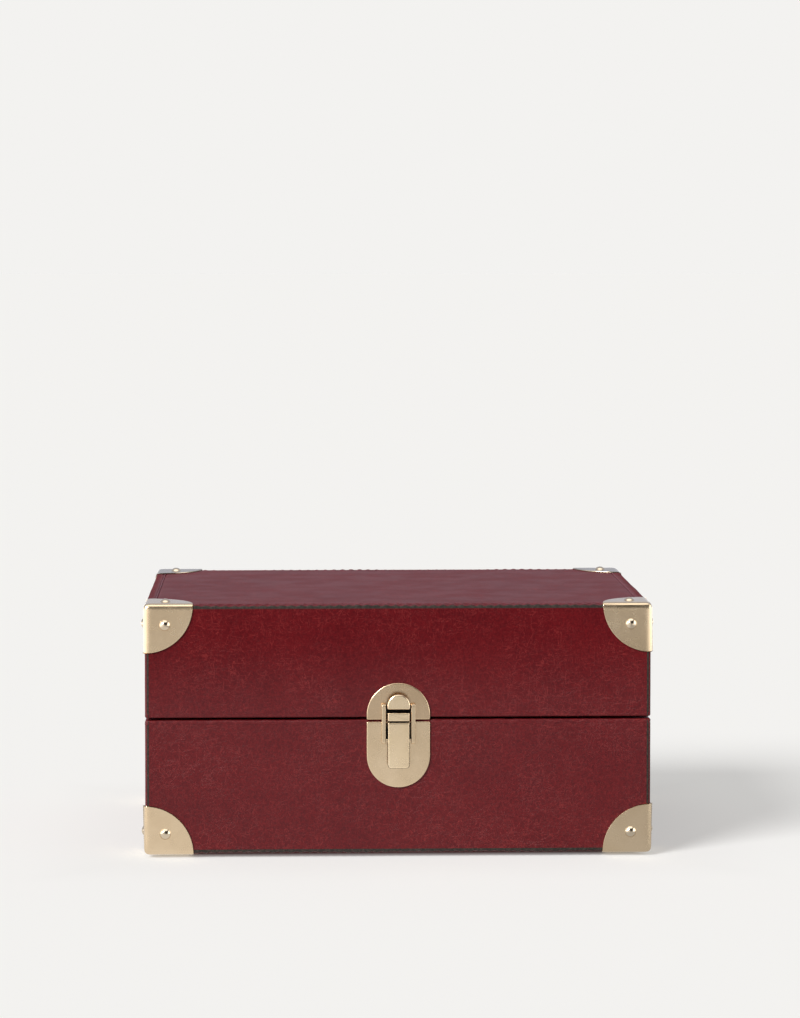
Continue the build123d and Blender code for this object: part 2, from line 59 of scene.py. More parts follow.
NEAR = 0.1 * MM  # two places this close are on the same side or corner
SAME = 0.01 * MM  # two places this close are one place
SQUARE = 0.99  # how much of a normal lies along the direction that its face is square to

Colour = tuple[float, float, float]
Piece = bpy.types.Object
Test = Callable[[Any], bool]


class Axis(Enum):
    """The model's three directions."""

    X = 0
    Y = 1
    Z = 2


class Kind(Enum):
    """What an edit-mode selection is made of."""

    VERT = "verts"
    EDGE = "edges"
    FACE = "faces"


class Half(Enum):
    """The two halves of the case, each with the way its outer face looks."""

    BASE = -1
    LID = 1

    @property
    def word(self) -> str:
        """The half's name, which is also its body's."""
        return self.name.lower()


# ---------------------------------------------------------------- modelling steps


def put_down_all() -> None:
    """Deselect everything, so that the next step works on one piece only."""
    bpy.ops.object.select_all(action="DESELECT")


def take_up(piece: Piece) -> None:
    """Select one piece alone and make it the active one."""
    put_down_all()
    piece.select_set(True)
    bpy.context.view_layer.objects.active = piece


@contextmanager
def editing(piece: Piece) -> Iterator[None]:
    """Open a piece in edit mode for some steps and close it again."""
    take_up(piece)
    bpy.ops.object.mode_set(mode="EDIT")
    yield
    bpy.ops.object.mode_set(mode="OBJECT")


def select(piece: Piece, kind: Kind, test: Test) -> None:
    """Select, in edit mode, only what passes a test.

    Args:
        piece: The piece that is open in edit mode.
        kind: Vertices, edges or faces.
        test: Says of one element whether it is wanted.
    """
    bpy.ops.mesh.select_mode(type=kind.name)
    bpy.ops.mesh.select_all(action="DESELECT")
    shape = bmesh.from_edit_mesh(piece.data)
    for item in getattr(shape, kind.value):
        if test(item):
            item.select_set(True)
    shape.select_flush_mode()
    bmesh.update_edit_mesh(piece.data)


def middle_of(edge: Any) -> Vector:
    """The point halfway along an edge."""
    return (edge.verts[0].co + edge.verts[1].co) / 2


def length_of(edge: Any) -> float:
    """The length of an edge."""
    return (edge.verts[1].co - edge.verts[0].co).length


def runs_along(edge: Any, axis: Axis) -> bool:
    """Whether an edge is parallel to one of the model's directions."""
    run = edge.verts[1].co - edge.verts[0].co
    return abs(run[axis.value]) > 0.995 * run.length


def placed(name: str) -> Piece:
    """Name the primitive that was just added and put its place into its mesh."""
    piece = bpy.context.object
    piece.name = name
    bpy.ops.object.transform_apply(location=True, rotation=True, scale=True)
    return piece


def block(name: str, low: Sequence[float], high: Sequence[float]) -> Piece:
    """Start a piece as a block between two corners.

    Args:
        name: The piece's name.
        low: Its lowest corner, in metres.
        high: Its highest corner.

    Returns:
        The new piece.
    """
    put_down_all()
    a, b = Vector(low), Vector(high)
    bpy.ops.mesh.primitive_cube_add(size=1.0, location=(a + b) / 2)
    bpy.context.object.scale = b - a
    return placed(name)


def rod(
    name: str, centre: Sequence[float], radius: float, length: float, axis: Axis, sides: int = 40
) -> Piece:
    """Start a piece as a round bar.

    Args:
        name: The piece's name.
        centre: The bar's middle.
        radius: Its radius.
        length: Its length.
        axis: The direction that it runs in.
        sides: How many sides stand for the circle.

    Returns:
        The new piece.
    """
    put_down_all()
    turn = {Axis.X: (0, math.pi / 2, 0), Axis.Y: (math.pi / 2, 0, 0), Axis.Z: (0, 0, 0)}[axis]
    bpy.ops.mesh.primitive_cylinder_add(
        vertices=sides, radius=radius, depth=length, location=centre, rotation=turn
    )
    return placed(name)


def dome(name: str, radius: float, height: float, segments: int, rings: int) -> Piece:
    """Start a piece as a domed head that stands on the floor at the origin.

    Args:
        name: The piece's name.
        radius: The radius of its flat underside.
        height: The height of its crown.
        segments: The parts of the whole ball round its axis.
        rings: The parts of the whole ball from pole to pole.

    Returns:
        The new piece.
    """
    ball = (radius**2 + height**2) / (2 * height)
    put_down_all()
    bpy.ops.mesh.primitive_uv_sphere_add(
        segments=segments, ring_count=rings, radius=ball, location=(0, 0, height - ball)
    )
    head = placed(name)
    slice_off(head, (0, 0, 0), (0, 0, -1))
    return head


def round_edges(
    piece: Piece, width: float, segments: int, test: Test = lambda edge: True, profile: float = 0.5
) -> None:
    """Round the edges that pass a test.

    Args:
        piece: The piece to work on.
        width: How far the rounding reaches from the edge.
        segments: How many strips it is made of.
        test: Says which edges.
        profile: 0.5 for a round section, more for a fuller one.
    """
    with editing(piece):
        select(piece, Kind.EDGE, test)
        bpy.ops.mesh.bevel(offset=width, segments=segments, profile=profile, affect="EDGES")


def round_ends(piece: Piece, width: float, segments: int) -> None:
    """Round all the edges of a bar or a block but those that run along X."""
    round_edges(piece, width, segments, lambda edge: not runs_along(edge, Axis.X))


def round_rim(piece: Piece, width: float, segments: int, axis: Axis, way: int) -> None:
    """Round the outline of the flat face that looks along an axis.

    Args:
        piece: The piece to work on.
        width: How far the rounding reaches.
        segments: How many strips it is made of.
        axis: The direction that the face looks along.
        way: -1 or 1 along that direction.
    """
    with editing(piece):
        select(piece, Kind.FACE, lambda face: face.normal[axis.value] * way > SQUARE)
        bpy.ops.mesh.region_to_loop()
        bpy.ops.mesh.bevel(offset=width, segments=segments, affect="EDGES")


def divide(piece: Piece, axis: Axis, cuts: Sequence[int], test: Test = lambda edge: True) -> None:
    """Divide the edges that run along an axis, once for each count of cuts.

    Args:
        piece: The piece to work on.
        axis: The direction of the edges.
        cuts: Cuts of each round.
        test: Says which of those edges.
    """
    with editing(piece):
        for count in cuts:
            select(piece, Kind.EDGE, lambda edge: runs_along(edge, axis) and test(edge))
            bpy.ops.mesh.subdivide(number_cuts=count)


def slice_off(piece: Piece, point: Sequence[float], normal: Sequence[float]) -> None:
    """Cut a piece with a plane, drop what the normal points to and close the cut."""
    with editing(piece):
        bpy.ops.mesh.select_all(action="SELECT")
        bpy.ops.mesh.bisect(plane_co=point, plane_no=normal, use_fill=True, clear_outer=True)


def pull_face(piece: Piece, axis: Axis, way: int, move: Sequence[float]) -> None:
    """Extrude the flat faces that look along an axis by a move."""
    with editing(piece):
        select(piece, Kind.FACE, lambda face: face.normal[axis.value] * way > SQUARE)
        bpy.ops.mesh.extrude_region_move(TRANSFORM_OT_translate={"value": move})


def carry_out(piece: Piece, kind: str, **settings: Any) -> None:
    """Give a piece a modifier and apply it.

    Args:
        piece: The piece to work on.
        kind: The modifier's type.
        **settings: Its settings by name.
    """
    take_up(piece)
    modifier = piece.modifiers.new(kind.lower(), kind)
    for key, value in settings.items():
        setattr(modifier, key, value)
    bpy.ops.object.modifier_apply(modifier=modifier.name)


def cut_with(piece: Piece, tool: Piece, operation: str) -> None:
    """Join, cut or keep a piece by another shape, and throw the shape away."""
    carry_out(piece, "BOOLEAN", operation=operation, object=tool, solver="EXACT")
    bpy.data.objects.remove(tool, do_unlink=True)


def ripple(piece: Piece, height: float, size: float) -> None:
    """Move a piece's surface in and out a little, as hand-worked leather and cloth are.

    Args:
        piece: The piece to work on.
        height: The whole height of the ripples.
        size: The distance between them.
    """
    clouds = bpy.data.textures.new(f"{piece.name}_ripple", "CLOUDS")
    clouds.noise_scale = size
    clouds.noise_depth = 2
    carry_out(piece, "DISPLACE", texture=clouds, strength=height, mid_level=0.5, texture_coords="LOCAL")


def smooth(piece: Piece, angle: float = 38.0) -> None:
    """Shade a piece smoothly over its shallow edges, with its flat faces kept flat."""
    take_up(piece)
    bpy.ops.object.shade_smooth_by_angle(angle=math.radians(angle))
    carry_out(piece, "WEIGHTED_NORMAL", keep_sharp=True)


def copied(piece: Piece, name: str) -> Piece:
    """Copy a piece, mesh and all, under a new name."""
    take_up(piece)
    bpy.ops.object.duplicate(linked=False)
    twin = bpy.context.object
    twin.name = name
    return twin


def moved(
    piece: Piece,
    place: Sequence[float] = (0, 0, 0),
    turn: Sequence[float] = (0, 0, 0),
    scale: Sequence[float] = (1, 1, 1),
) -> Piece:
    """Scale, turn and move a piece about the model's origin, all into its mesh.

    Args:
        piece: The piece to move.
        place: How far it moves.
        turn: Its turn in radians.
        scale: Its scale, negative to mirror.

    Returns:
        The same piece.
    """
    take_up(piece)
    piece.scale, piece.rotation_euler, piece.location = scale, turn, place
    bpy.ops.object.transform_apply(location=True, rotation=True, scale=True)
    if scale[0] * scale[1] * scale[2] < 0:
        with editing(piece):
            bpy.ops.mesh.select_all(action="SELECT")
            bpy.ops.mesh.normals_make_consistent(inside=False)
    return piece


def joined(name: str, pieces: Sequence[Piece]) -> Piece:
    """Join pieces into the first of them."""
    take_up(pieces[0])
    for piece in pieces[1:]:
        piece.select_set(True)
    if len(pieces) > 1:
        bpy.ops.object.join()
    pieces[0].name = name
    return pieces[0]


def row_of(piece: Piece, count: int, step: Sequence[float]) -> None:
    """Repeat a piece in a straight row."""
    carry_out(
        piece,
        "ARRAY",
        count=count,
        use_relative_offset=False,
        use_constant_offset=True,
        constant_offset_displace=step,
    )


def slab(name: str, low: Sequence[float], high: Sequence[float], soft: float, segments: int = 3) -> Piece:
    """A block with all its edges rounded."""
    piece = block(name, low, high)
    round_edges(piece, soft, segments)
    return piece


def hoop(name: str, low: Sequence[float], high: Sequence[float], wall: float) -> Piece:
    """A flat rectangular frame between two corners, as wide all round as its wall.

    Args:
        name: The piece's name.
        low: Its lowest corner.
        high: Its highest corner.
        wall: The width of each of its four sides.

    Returns:
        The new piece.
    """
    put_down_all()
    a, b = Vector(low), Vector(high)
    bpy.ops.mesh.primitive_plane_add(size=1.0, location=((a.x + b.x) / 2, (a.y + b.y) / 2, a.z))
    bpy.context.object.scale = (b.x - a.x, b.y - a.y, 1.0)
    piece = placed(name)
    with editing(piece):
        bpy.ops.mesh.select_all(action="SELECT")
        bpy.ops.mesh.inset(thickness=wall)
        bpy.ops.mesh.delete(type="FACE")
        bpy.ops.mesh.select_all(action="SELECT")
        bpy.ops.mesh.extrude_region_move(TRANSFORM_OT_translate={"value": (0, 0, b.z - a.z)})
        bpy.ops.mesh.select_all(action="SELECT")
        bpy.ops.mesh.normals_make_consistent(inside=False)
    return piece


def stitches(
    name: str, low: Sequence[float], high: Sequence[float], level: float, pitch: float, thread: float
) -> Piece:
    """Sewn thread round a rectangle that lies flat.

    Args:
        name: The piece's name.
        low: The rectangle's lowest corner.
        high: Its highest corner.
        level: The height of the thread's middle.
        pitch: The distance from one stitch to the next.
        thread: The thread's thickness.

    Returns:
        All the stitches as one piece.
    """
    rows = []
    for axis, other in ((Axis.X, Axis.Y), (Axis.Y, Axis.X)):
        start, end = low[axis.value], high[axis.value]
        count = round((end - start) / pitch)
        step = (end - start) / count
        for edge in (low[other.value], high[other.value]):
            place = [0.0, 0.0, level]
            place[axis.value], place[other.value] = start + step / 2, edge
            stitch = rod(name, place, thread / 2, step * 0.8, axis, sides=8)
            round_edges(stitch, thread * 0.3, 2, lambda edge_: not runs_along(edge_, axis))
            move = [0.0, 0.0, 0.0]
            move[axis.value] = step
            row_of(stitch, count, move)
            rows.append(stitch)
    return joined(name, rows)


def puff(piece: Piece, voxel: float, limit: float, held: Test) -> None:
    """Swell a pad by a short cloth simulation and keep the result in its mesh.

    Args:
        piece: The pad, a little smaller than its finished size.
        voxel: The size of the net that the cloth is made of.
        limit: The furthest that a point may move.
        held: Says of a point whether it is glued or sewn down.
    """
    carry_out(piece, "REMESH", mode="VOXEL", voxel_size=voxel)
    before = [vertex.co.copy() for vertex in piece.data.vertices]
    pinned = piece.vertex_groups.new(name="held")
    pinned.add([i for i, point in enumerate(before) if held(point)], 1.0, "REPLACE")
    take_up(piece)
    cloth = piece.modifiers.new("cloth", "CLOTH")
    cloth.settings.use_pressure = True
    cloth.settings.uniform_pressure_force = 4.0
    cloth.settings.effector_weights.gravity = 0.0
    cloth.settings.vertex_group_mass = "held"
    for moment in range(1, 21):
        bpy.context.scene.frame_set(moment)
    bpy.ops.object.modifier_apply(modifier="cloth")
    bpy.context.scene.frame_set(1)
    for vertex, start in zip(piece.data.vertices, before):
        move = vertex.co - start
        if move.length > limit:
            vertex.co = start + move * (limit / move.length)
    carry_out(piece, "SUBSURF", levels=1, render_levels=1)


def paint_faces(piece: Piece, index: int, test: Test) -> None:
    """Give the faces that pass a test another of the piece's finishes."""
    for face in piece.data.polygons:
        if test(face):
            face.material_index = index


def settle(
    piece: Piece, body: str, finishes: Sequence[bpy.types.Material], nodes: Sequence[str] = ()
) -> Piece:
    """Dress a finished piece, tie it to its body and report it.

    Args:
        piece: The finished piece.
        body: The body that it moves with.
        finishes: Its materials in order.
        nodes: The CAD nodes that it stands for.

    Returns:
        The same piece.
    """
    for finish in finishes:
        piece.data.materials.append(finish)
    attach(piece, body)
    if nodes:
        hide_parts(*nodes)
    LOG.info("%s rides on %s with %d faces", piece.name, body, len(piece.data.polygons))
    return piece


# ---------------------------------------------------------------- finishes


class Recipe:
    """One material as it is put together from shader nodes."""

    def __init__(self, name: str) -> None:
        """Start from a plain Principled shader."""
        self.material = bpy.data.materials.new(name)
        self.material.use_nodes = True
        self.tree = self.material.node_tree
        self.shader = self.tree.nodes["Principled BSDF"]
        self.place = self.node("ShaderNodeTexCoord").outputs["Object"]

    def node(self, kind: str, settings: dict[str, Any] | None = None, **sockets: Any) -> Any:
        """Add a node.

        Args:
            kind: The node's type.
            settings: Its properties.
            **sockets: Its inputs by name, with _ for a space: a value or another node's output.

        Returns:
            The node.
        """
        made = self.tree.nodes.new(kind)
        for key, value in (settings or {}).items():
            setattr(made, key, value)
        for key, value in sockets.items():
            self.feed(made.inputs[key.replace("_", " ")], value)
        return made

    def feed(self, socket: Any, value: Any) -> None:
        """Link an output to an input, or set the input's own value."""
        if isinstance(value, bpy.types.NodeSocket):
            self.tree.links.new(value, socket)
        else:
            socket.default_value = value

    def set(self, **sockets: Any) -> None:
        """Set or link the shader's own inputs."""
        for key, value in sockets.items():
            self.feed(self.shader.inputs[key.replace("_", " ")], value)

    def noise(self, scale: float, detail: float = 2.0, twist: float = 0.0, place: Any = None) -> Any:
        """Noise of a scale, as a factor."""
        made = self.node(
            "ShaderNodeTexNoise", Vector=place or self.place, Scale=scale, Detail=detail, Distortion=twist
        )
        return made.outputs["Fac"]

    def stretched(self, scale: Sequence[float], turn: Sequence[float] = (0, 0, 0)) -> Any:
        """Coordinates that are turned and stretched."""
        made = self.node("ShaderNodeMapping", Vector=self.place, Scale=scale, Rotation=turn)
        return made.outputs["Vector"]

    def band(self, value: Any, low: float, high: float, to_low: float = 0.0, to_high: float = 1.0) -> Any:
        """Map a range of a value smoothly to another range."""
        made = self.node("ShaderNodeMapRange", {"interpolation_type": "SMOOTHSTEP"}, Value=value)
        for key, number in (("From Min", low), ("From Max", high), ("To Min", to_low), ("To Max", to_high)):
            made.inputs[key].default_value = number
        return made.outputs["Result"]

    def sum(self, operation: str, first: Any, second: Any = 0.0) -> Any:
        """One step of arithmetic on two values."""
        made = self.node("ShaderNodeMath", {"operation": operation})
        self.feed(made.inputs[0], first)
        self.feed(made.inputs[1], second)
        return made.outputs[0]

    def mixed(self, factor: Any, first: Any, second: Any) -> Any:
        """A colour between two colours."""
        made = self.node("ShaderNodeMix", {"data_type": "RGBA"})
        self.feed(made.inputs["Factor"], factor)
        for socket, value in ((made.inputs[6], first), (made.inputs[7], second)):
            self.feed(socket, value if isinstance(value, bpy.types.NodeSocket) else (*value, 1.0))
        return made.outputs[2]

    def hairlines(self, scale: float, width: float, twist: float, place: Any = None) -> Any:
        """Thin wandering lines, 1 on a line and 0 away from it."""
        off = self.sum("ABSOLUTE", self.sum("SUBTRACT", self.noise(scale, 3.0, twist, place), 0.5))
        return self.band(off, 0.0, width, 1.0, 0.0)

    def relief(self, steps: Sequence[tuple[Any, float, float]]) -> None:
        """Stack bumps, each a height, a strength and a depth in metres, onto the shader."""
        normal = None
        for height, strength, depth in steps:
            bump = self.node("ShaderNodeBump", Height=height, Strength=strength, Distance=depth)
            if normal is not None:
                self.feed(bump.inputs["Normal"], normal)
            normal = bump.outputs["Normal"]
        self.feed(self.shader.inputs["Normal"], normal)


@dataclass(frozen=True)
class CalfLeather:
    """Waxed calf, clouded burgundy with hair-fine creases and a tight grain."""

    name: str = "burgundy_calf"
    deep: Colour = (0.068, 0.0014, 0.0038)
    bright: Colour = (0.118, 0.0038, 0.0062)
    crease: Colour = (0.200, 0.0190, 0.0190)
    crease_share: float = 0.64
    smooth_low: float = 0.42
    smooth_high: float = 0.54
    sheen_low: float = 0.30
    sheen_high: float = 0.10
    waves: float = 0.2
    grain: float = 1.0

    def material(self) -> bpy.types.Material:
        """Build the leather."""
        mix = Recipe(self.name)
        cloud = mix.noise(26.0, 6.0, 0.4)
        fibre = mix.noise(760.0, 4.0, 0.6)
        tone = mix.sum("ADD", mix.sum("MULTIPLY", mix.band(cloud, 0.3, 0.7), 0.25),
                       mix.sum("MULTIPLY", mix.band(fibre, 0.3, 0.7), 0.75))
        ground = mix.mixed(tone, self.deep, self.bright)
        hairs = mix.sum(
            "MAXIMUM",
            mix.hairlines(110.0, 0.016, 1.2, mix.stretched((1.0, 1.0, 2.6), (0.0, 0.6, 0.2))),
            mix.hairlines(90.0, 0.014, 1.4, mix.stretched((2.6, 1.0, 1.0), (0.3, 0.8, 0.0))),
        )
        where = mix.band(mix.noise(30.0, 3.0), 0.34, 0.6, 0.45, 1.0)
        creases = mix.sum("MULTIPLY", hairs, where)
        colour = mix.mixed(mix.sum("MULTIPLY", creases, self.crease_share), ground, self.crease)
        cells = mix.node(
            "ShaderNodeTexVoronoi", {"feature": "DISTANCE_TO_EDGE"},
            Vector=mix.stretched((1.0, 1.0, 1.25)), Scale=620.0,
        ).outputs["Distance"]
        fine = mix.noise(2600.0, 2.0)
        height = mix.node("ShaderNodeSeparateXYZ", Vector=mix.place).outputs["Z"]
        mix.set(
            Base_Color=colour,
            Roughness=mix.band(mix.noise(60.0, 4.0), 0.3, 0.7, self.smooth_low, self.smooth_high),
            Specular_IOR_Level=mix.band(height, 0.070, 0.118, self.sheen_low, self.sheen_high),
        )
        mix.relief((
            (mix.noise(55.0, 3.0, 0.5), self.waves, 0.0005),
            (mix.band(cells, 0.0, 0.22), 0.16 * self.grain, 0.00012),
            (fine, 0.16 * self.grain, 0.00010),
            (creases, 0.4, 0.00012),
        ))
        return mix.material


@dataclass(frozen=True)
class EdgePaint:
    """Dark paint, burnished onto the leather's cut edges."""

    name: str = "edge_paint"
    dark: Colour = (0.016, 0.012, 0.009)
    light: Colour = (0.044, 0.032, 0.025)

    def material(self) -> bpy.types.Material:
        """Build the paint."""
        mix = Recipe(self.name)
        grain = mix.noise(700.0, 4.0)
        mix.set(
            Base_Color=mix.mixed(mix.band(grain, 0.35, 0.75), self.dark, self.light),
            Roughness=mix.band(grain, 0.3, 0.7, 0.42, 0.6),
            Specular_IOR_Level=0.3,
        )
        mix.relief(((grain, 0.3, 0.0001),))
        return mix.material


@dataclass(frozen=True)
class Thread:
    """Waxed sewing thread of two twisted strands."""

    name: str = "waxed_thread"
    dark: Colour = (0.090, 0.010, 0.018)
    light: Colour = (0.190, 0.032, 0.045)

    def material(self) -> bpy.types.Material:
        """Build the thread."""
        mix = Recipe(self.name)
        twist = mix.node(
            "ShaderNodeTexWave", {"bands_direction": "DIAGONAL"}, Vector=mix.place, Scale=900.0
        ).outputs["Fac"]
        mix.set(Base_Color=mix.mixed(twist, self.dark, self.light), Roughness=0.5)
        mix.relief(((twist, 0.5, 0.00012),))
        return mix.material


@dataclass(frozen=True)
class Gilt:
    """Pale gilt on brass, satin or polished."""

    name: str = "gilt_satin"
    warm: Colour = (0.70, 0.535, 0.350)
    pale: Colour = (0.76, 0.595, 0.405)
    gloss_low: float = 0.22
    gloss_high: float = 0.28
    lines: float = 0.008

    def material(self) -> bpy.types.Material:
        """Build the metal."""
        mix = Recipe(self.name)
        cloud = mix.noise(45.0, 3.0)
        brushed = mix.noise(900.0, 2.0, place=mix.stretched((0.06, 1.0, 1.0)))
        rubbed = mix.noise(240.0, 4.0)
        mix.set(
            Base_Color=mix.mixed(mix.band(cloud, 0.3, 0.7), self.warm, self.pale),
            Metallic=1.0,
            Roughness=mix.band(rubbed, 0.3, 0.7, self.gloss_low, self.gloss_high),
            Coat_Weight=0.3, Coat_Roughness=0.12,
        )
        mix.relief(((brushed, self.lines, 0.00005), (rubbed, self.lines * 0.6, 0.00008)))
        return mix.material


@dataclass(frozen=True)
class Steel:
    """Plain steel of the plates behind the latch."""

    name: str = "plain_steel"
    shade: Colour = (0.42, 0.42, 0.44)

    def material(self) -> bpy.types.Material:
        """Build the steel."""
        mix = Recipe(self.name)
        rolled = mix.noise(500.0, 3.0, place=mix.stretched((0.1, 1.0, 1.0)))
        mix.set(
            Base_Color=mix.mixed(rolled, [part * 0.85 for part in self.shade], self.shade),
            Metallic=1.0,
            Roughness=mix.band(rolled, 0.3, 0.7, 0.35, 0.5),
        )
        mix.relief(((rolled, 0.1, 0.00005),))
        return mix.material


@dataclass(frozen=True)
class Suede:
    """Brushed suede lining, its nap stroked lighter and darker."""

    name: str = "fawn_suede"
    shadow: Colour = (0.31, 0.235, 0.172)
    light: Colour = (0.45, 0.355, 0.27)

    def material(self) -> bpy.types.Material:
        """Build the suede."""
        mix = Recipe(self.name)
        strokes = mix.noise(38.0, 4.0, 0.8, mix.stretched((1.0, 2.2, 1.6), (0.2, 0.1, 0.5)))
        nap = mix.noise(2400.0, 3.0)
        tone = mix.sum("ADD", mix.sum("MULTIPLY", mix.band(strokes, 0.35, 0.65), 0.7),
                       mix.sum("MULTIPLY", nap, 0.3))
        mix.set(Base_Color=mix.mixed(tone, self.shadow, self.light), Roughness=0.95,
                Sheen_Weight=0.35, Sheen_Roughness=0.5, Specular_IOR_Level=0.2)
        mix.relief(((strokes, 0.15, 0.0003), (nap, 0.45, 0.00012)))
        return mix.material


@dataclass(frozen=True)
class Plywood:
    """Birch plywood of the case's walls."""

    name: str = "birch_ply"
    pale: Colour = (0.55, 0.40, 0.25)
    dark: Colour = (0.38, 0.25, 0.14)

    def material(self) -> bpy.types.Material:
        """Build the wood."""
        mix = Recipe(self.name)
        grain = mix.noise(160.0, 5.0, 0.6, mix.stretched((0.08, 1.0, 1.0)))
        mix.set(Base_Color=mix.mixed(mix.band(grain, 0.3, 0.7), self.dark, self.pale), Roughness=0.6)
        mix.relief(((grain, 0.2, 0.0001),))
        return mix.material


@dataclass(frozen=True)
class MirrorGlass:
    """Silvered glass with a faint haze of wiping."""

    name: str = "silvered_glass"
    silver: Colour = (0.88, 0.90, 0.90)

    def material(self) -> bpy.types.Material:
        """Build the mirror."""
        mix = Recipe(self.name)
        haze = mix.noise(30.0, 3.0)
        mix.set(
            Base_Color=(*self.silver, 1.0), Metallic=1.0,
            Roughness=mix.band(haze, 0.4, 0.7, 0.01, 0.035), Coat_Weight=0.5, Coat_Roughness=0.02,
        )
        return mix.material


@dataclass(frozen=True)
class Finishes:
    """Every material of the case, built once."""

    leather: bpy.types.Material
    top_leather: bpy.types.Material
    pressed: bpy.types.Material
    paint: bpy.types.Material
    thread: bpy.types.Material
    satin: bpy.types.Material
    deep_satin: bpy.types.Material
    bright_satin: bpy.types.Material
    aged_satin: bpy.types.Material
    polished: bpy.types.Material
    steel: bpy.types.Material
    black: bpy.types.Material
    suede: bpy.types.Material
    wood: bpy.types.Material
    mirror: bpy.types.Material

    @classmethod
    def made(cls) -> Finishes:
        """Build all the materials."""
        return cls(
            leather=CalfLeather().material(),
            top_leather=CalfLeather("burgundy_calf_top", smooth_low=0.5, smooth_high=0.58, sheen_low=0.22,
                                    sheen_high=0.22, waves=0.06, grain=0.6).material(),
            pressed=CalfLeather("burgundy_calf_pressed", (0.06, 0.002, 0.007), (0.10, 0.004, 0.012),
                                smooth_low=0.7, smooth_high=0.8, sheen_low=0.0, sheen_high=0.0,
                                waves=0.0).material(),
            paint=EdgePaint().material(),
            thread=Thread().material(),
            satin=Gilt().material(),
            # A darker copy of the satin: painted shade for the keeper plate.
            deep_satin=Gilt("gilt_satin_deep", (0.585, 0.425, 0.27), (0.645, 0.48, 0.315)).material(),
            # A lighter copy of the satin: painted light for the lever's front and the tongue.
            bright_satin=Gilt("gilt_satin_bright", (0.83, 0.65, 0.425), (0.90, 0.72, 0.495)).material(),
            # A much darker copy of the satin: painted shade for the lid's rear caps.
            aged_satin=Gilt("gilt_satin_aged", (0.36, 0.29, 0.21), (0.46, 0.38, 0.29)).material(),
            polished=Gilt("gilt_polished", (0.60, 0.49, 0.36), (0.68, 0.57, 0.43), 0.06, 0.11).material(),
            steel=Steel().material(),
            # Near-black: painted shade for the latch's slots, gaps and side faces.
            black=Steel("blackened_steel", (0.012, 0.011, 0.010)).material(),
            suede=Suede().material(),
            wood=Plywood().material(),
            mirror=MirrorGlass().material(),
        )


# ---------------------------------------------------------------- the case's plan


def joint_place(name: str) -> Vector:
    """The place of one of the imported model's joints."""
    return next(Vector(j["pos_m"]) for j in frame["record"]["behaviour"]["joints"] if j["name"] == name)


@dataclass(frozen=True)
class Plan:
    """The places that the pieces share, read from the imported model."""

    left: float
    right: float
    front: float
    back: float
    under: float
    top: float
    base_rim: float
    lid_rim: float

    @classmethod
    def read(cls) -> Plan:
        """Read the plan from the outer leathers and the rims."""
        low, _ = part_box("base_bottom_leather")
        _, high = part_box("lid_top_leather")
        return cls(low.x, high.x, low.y, high.y, low.z, high.z,
                   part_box("base_rim_welt")[1].z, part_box("lid_rim_welt")[0].z)

    @property
    def middle(self) -> float:
        """The case's middle from front to back."""
        return (self.front + self.back) / 2


# ---------------------------------------------------------------- leather shell


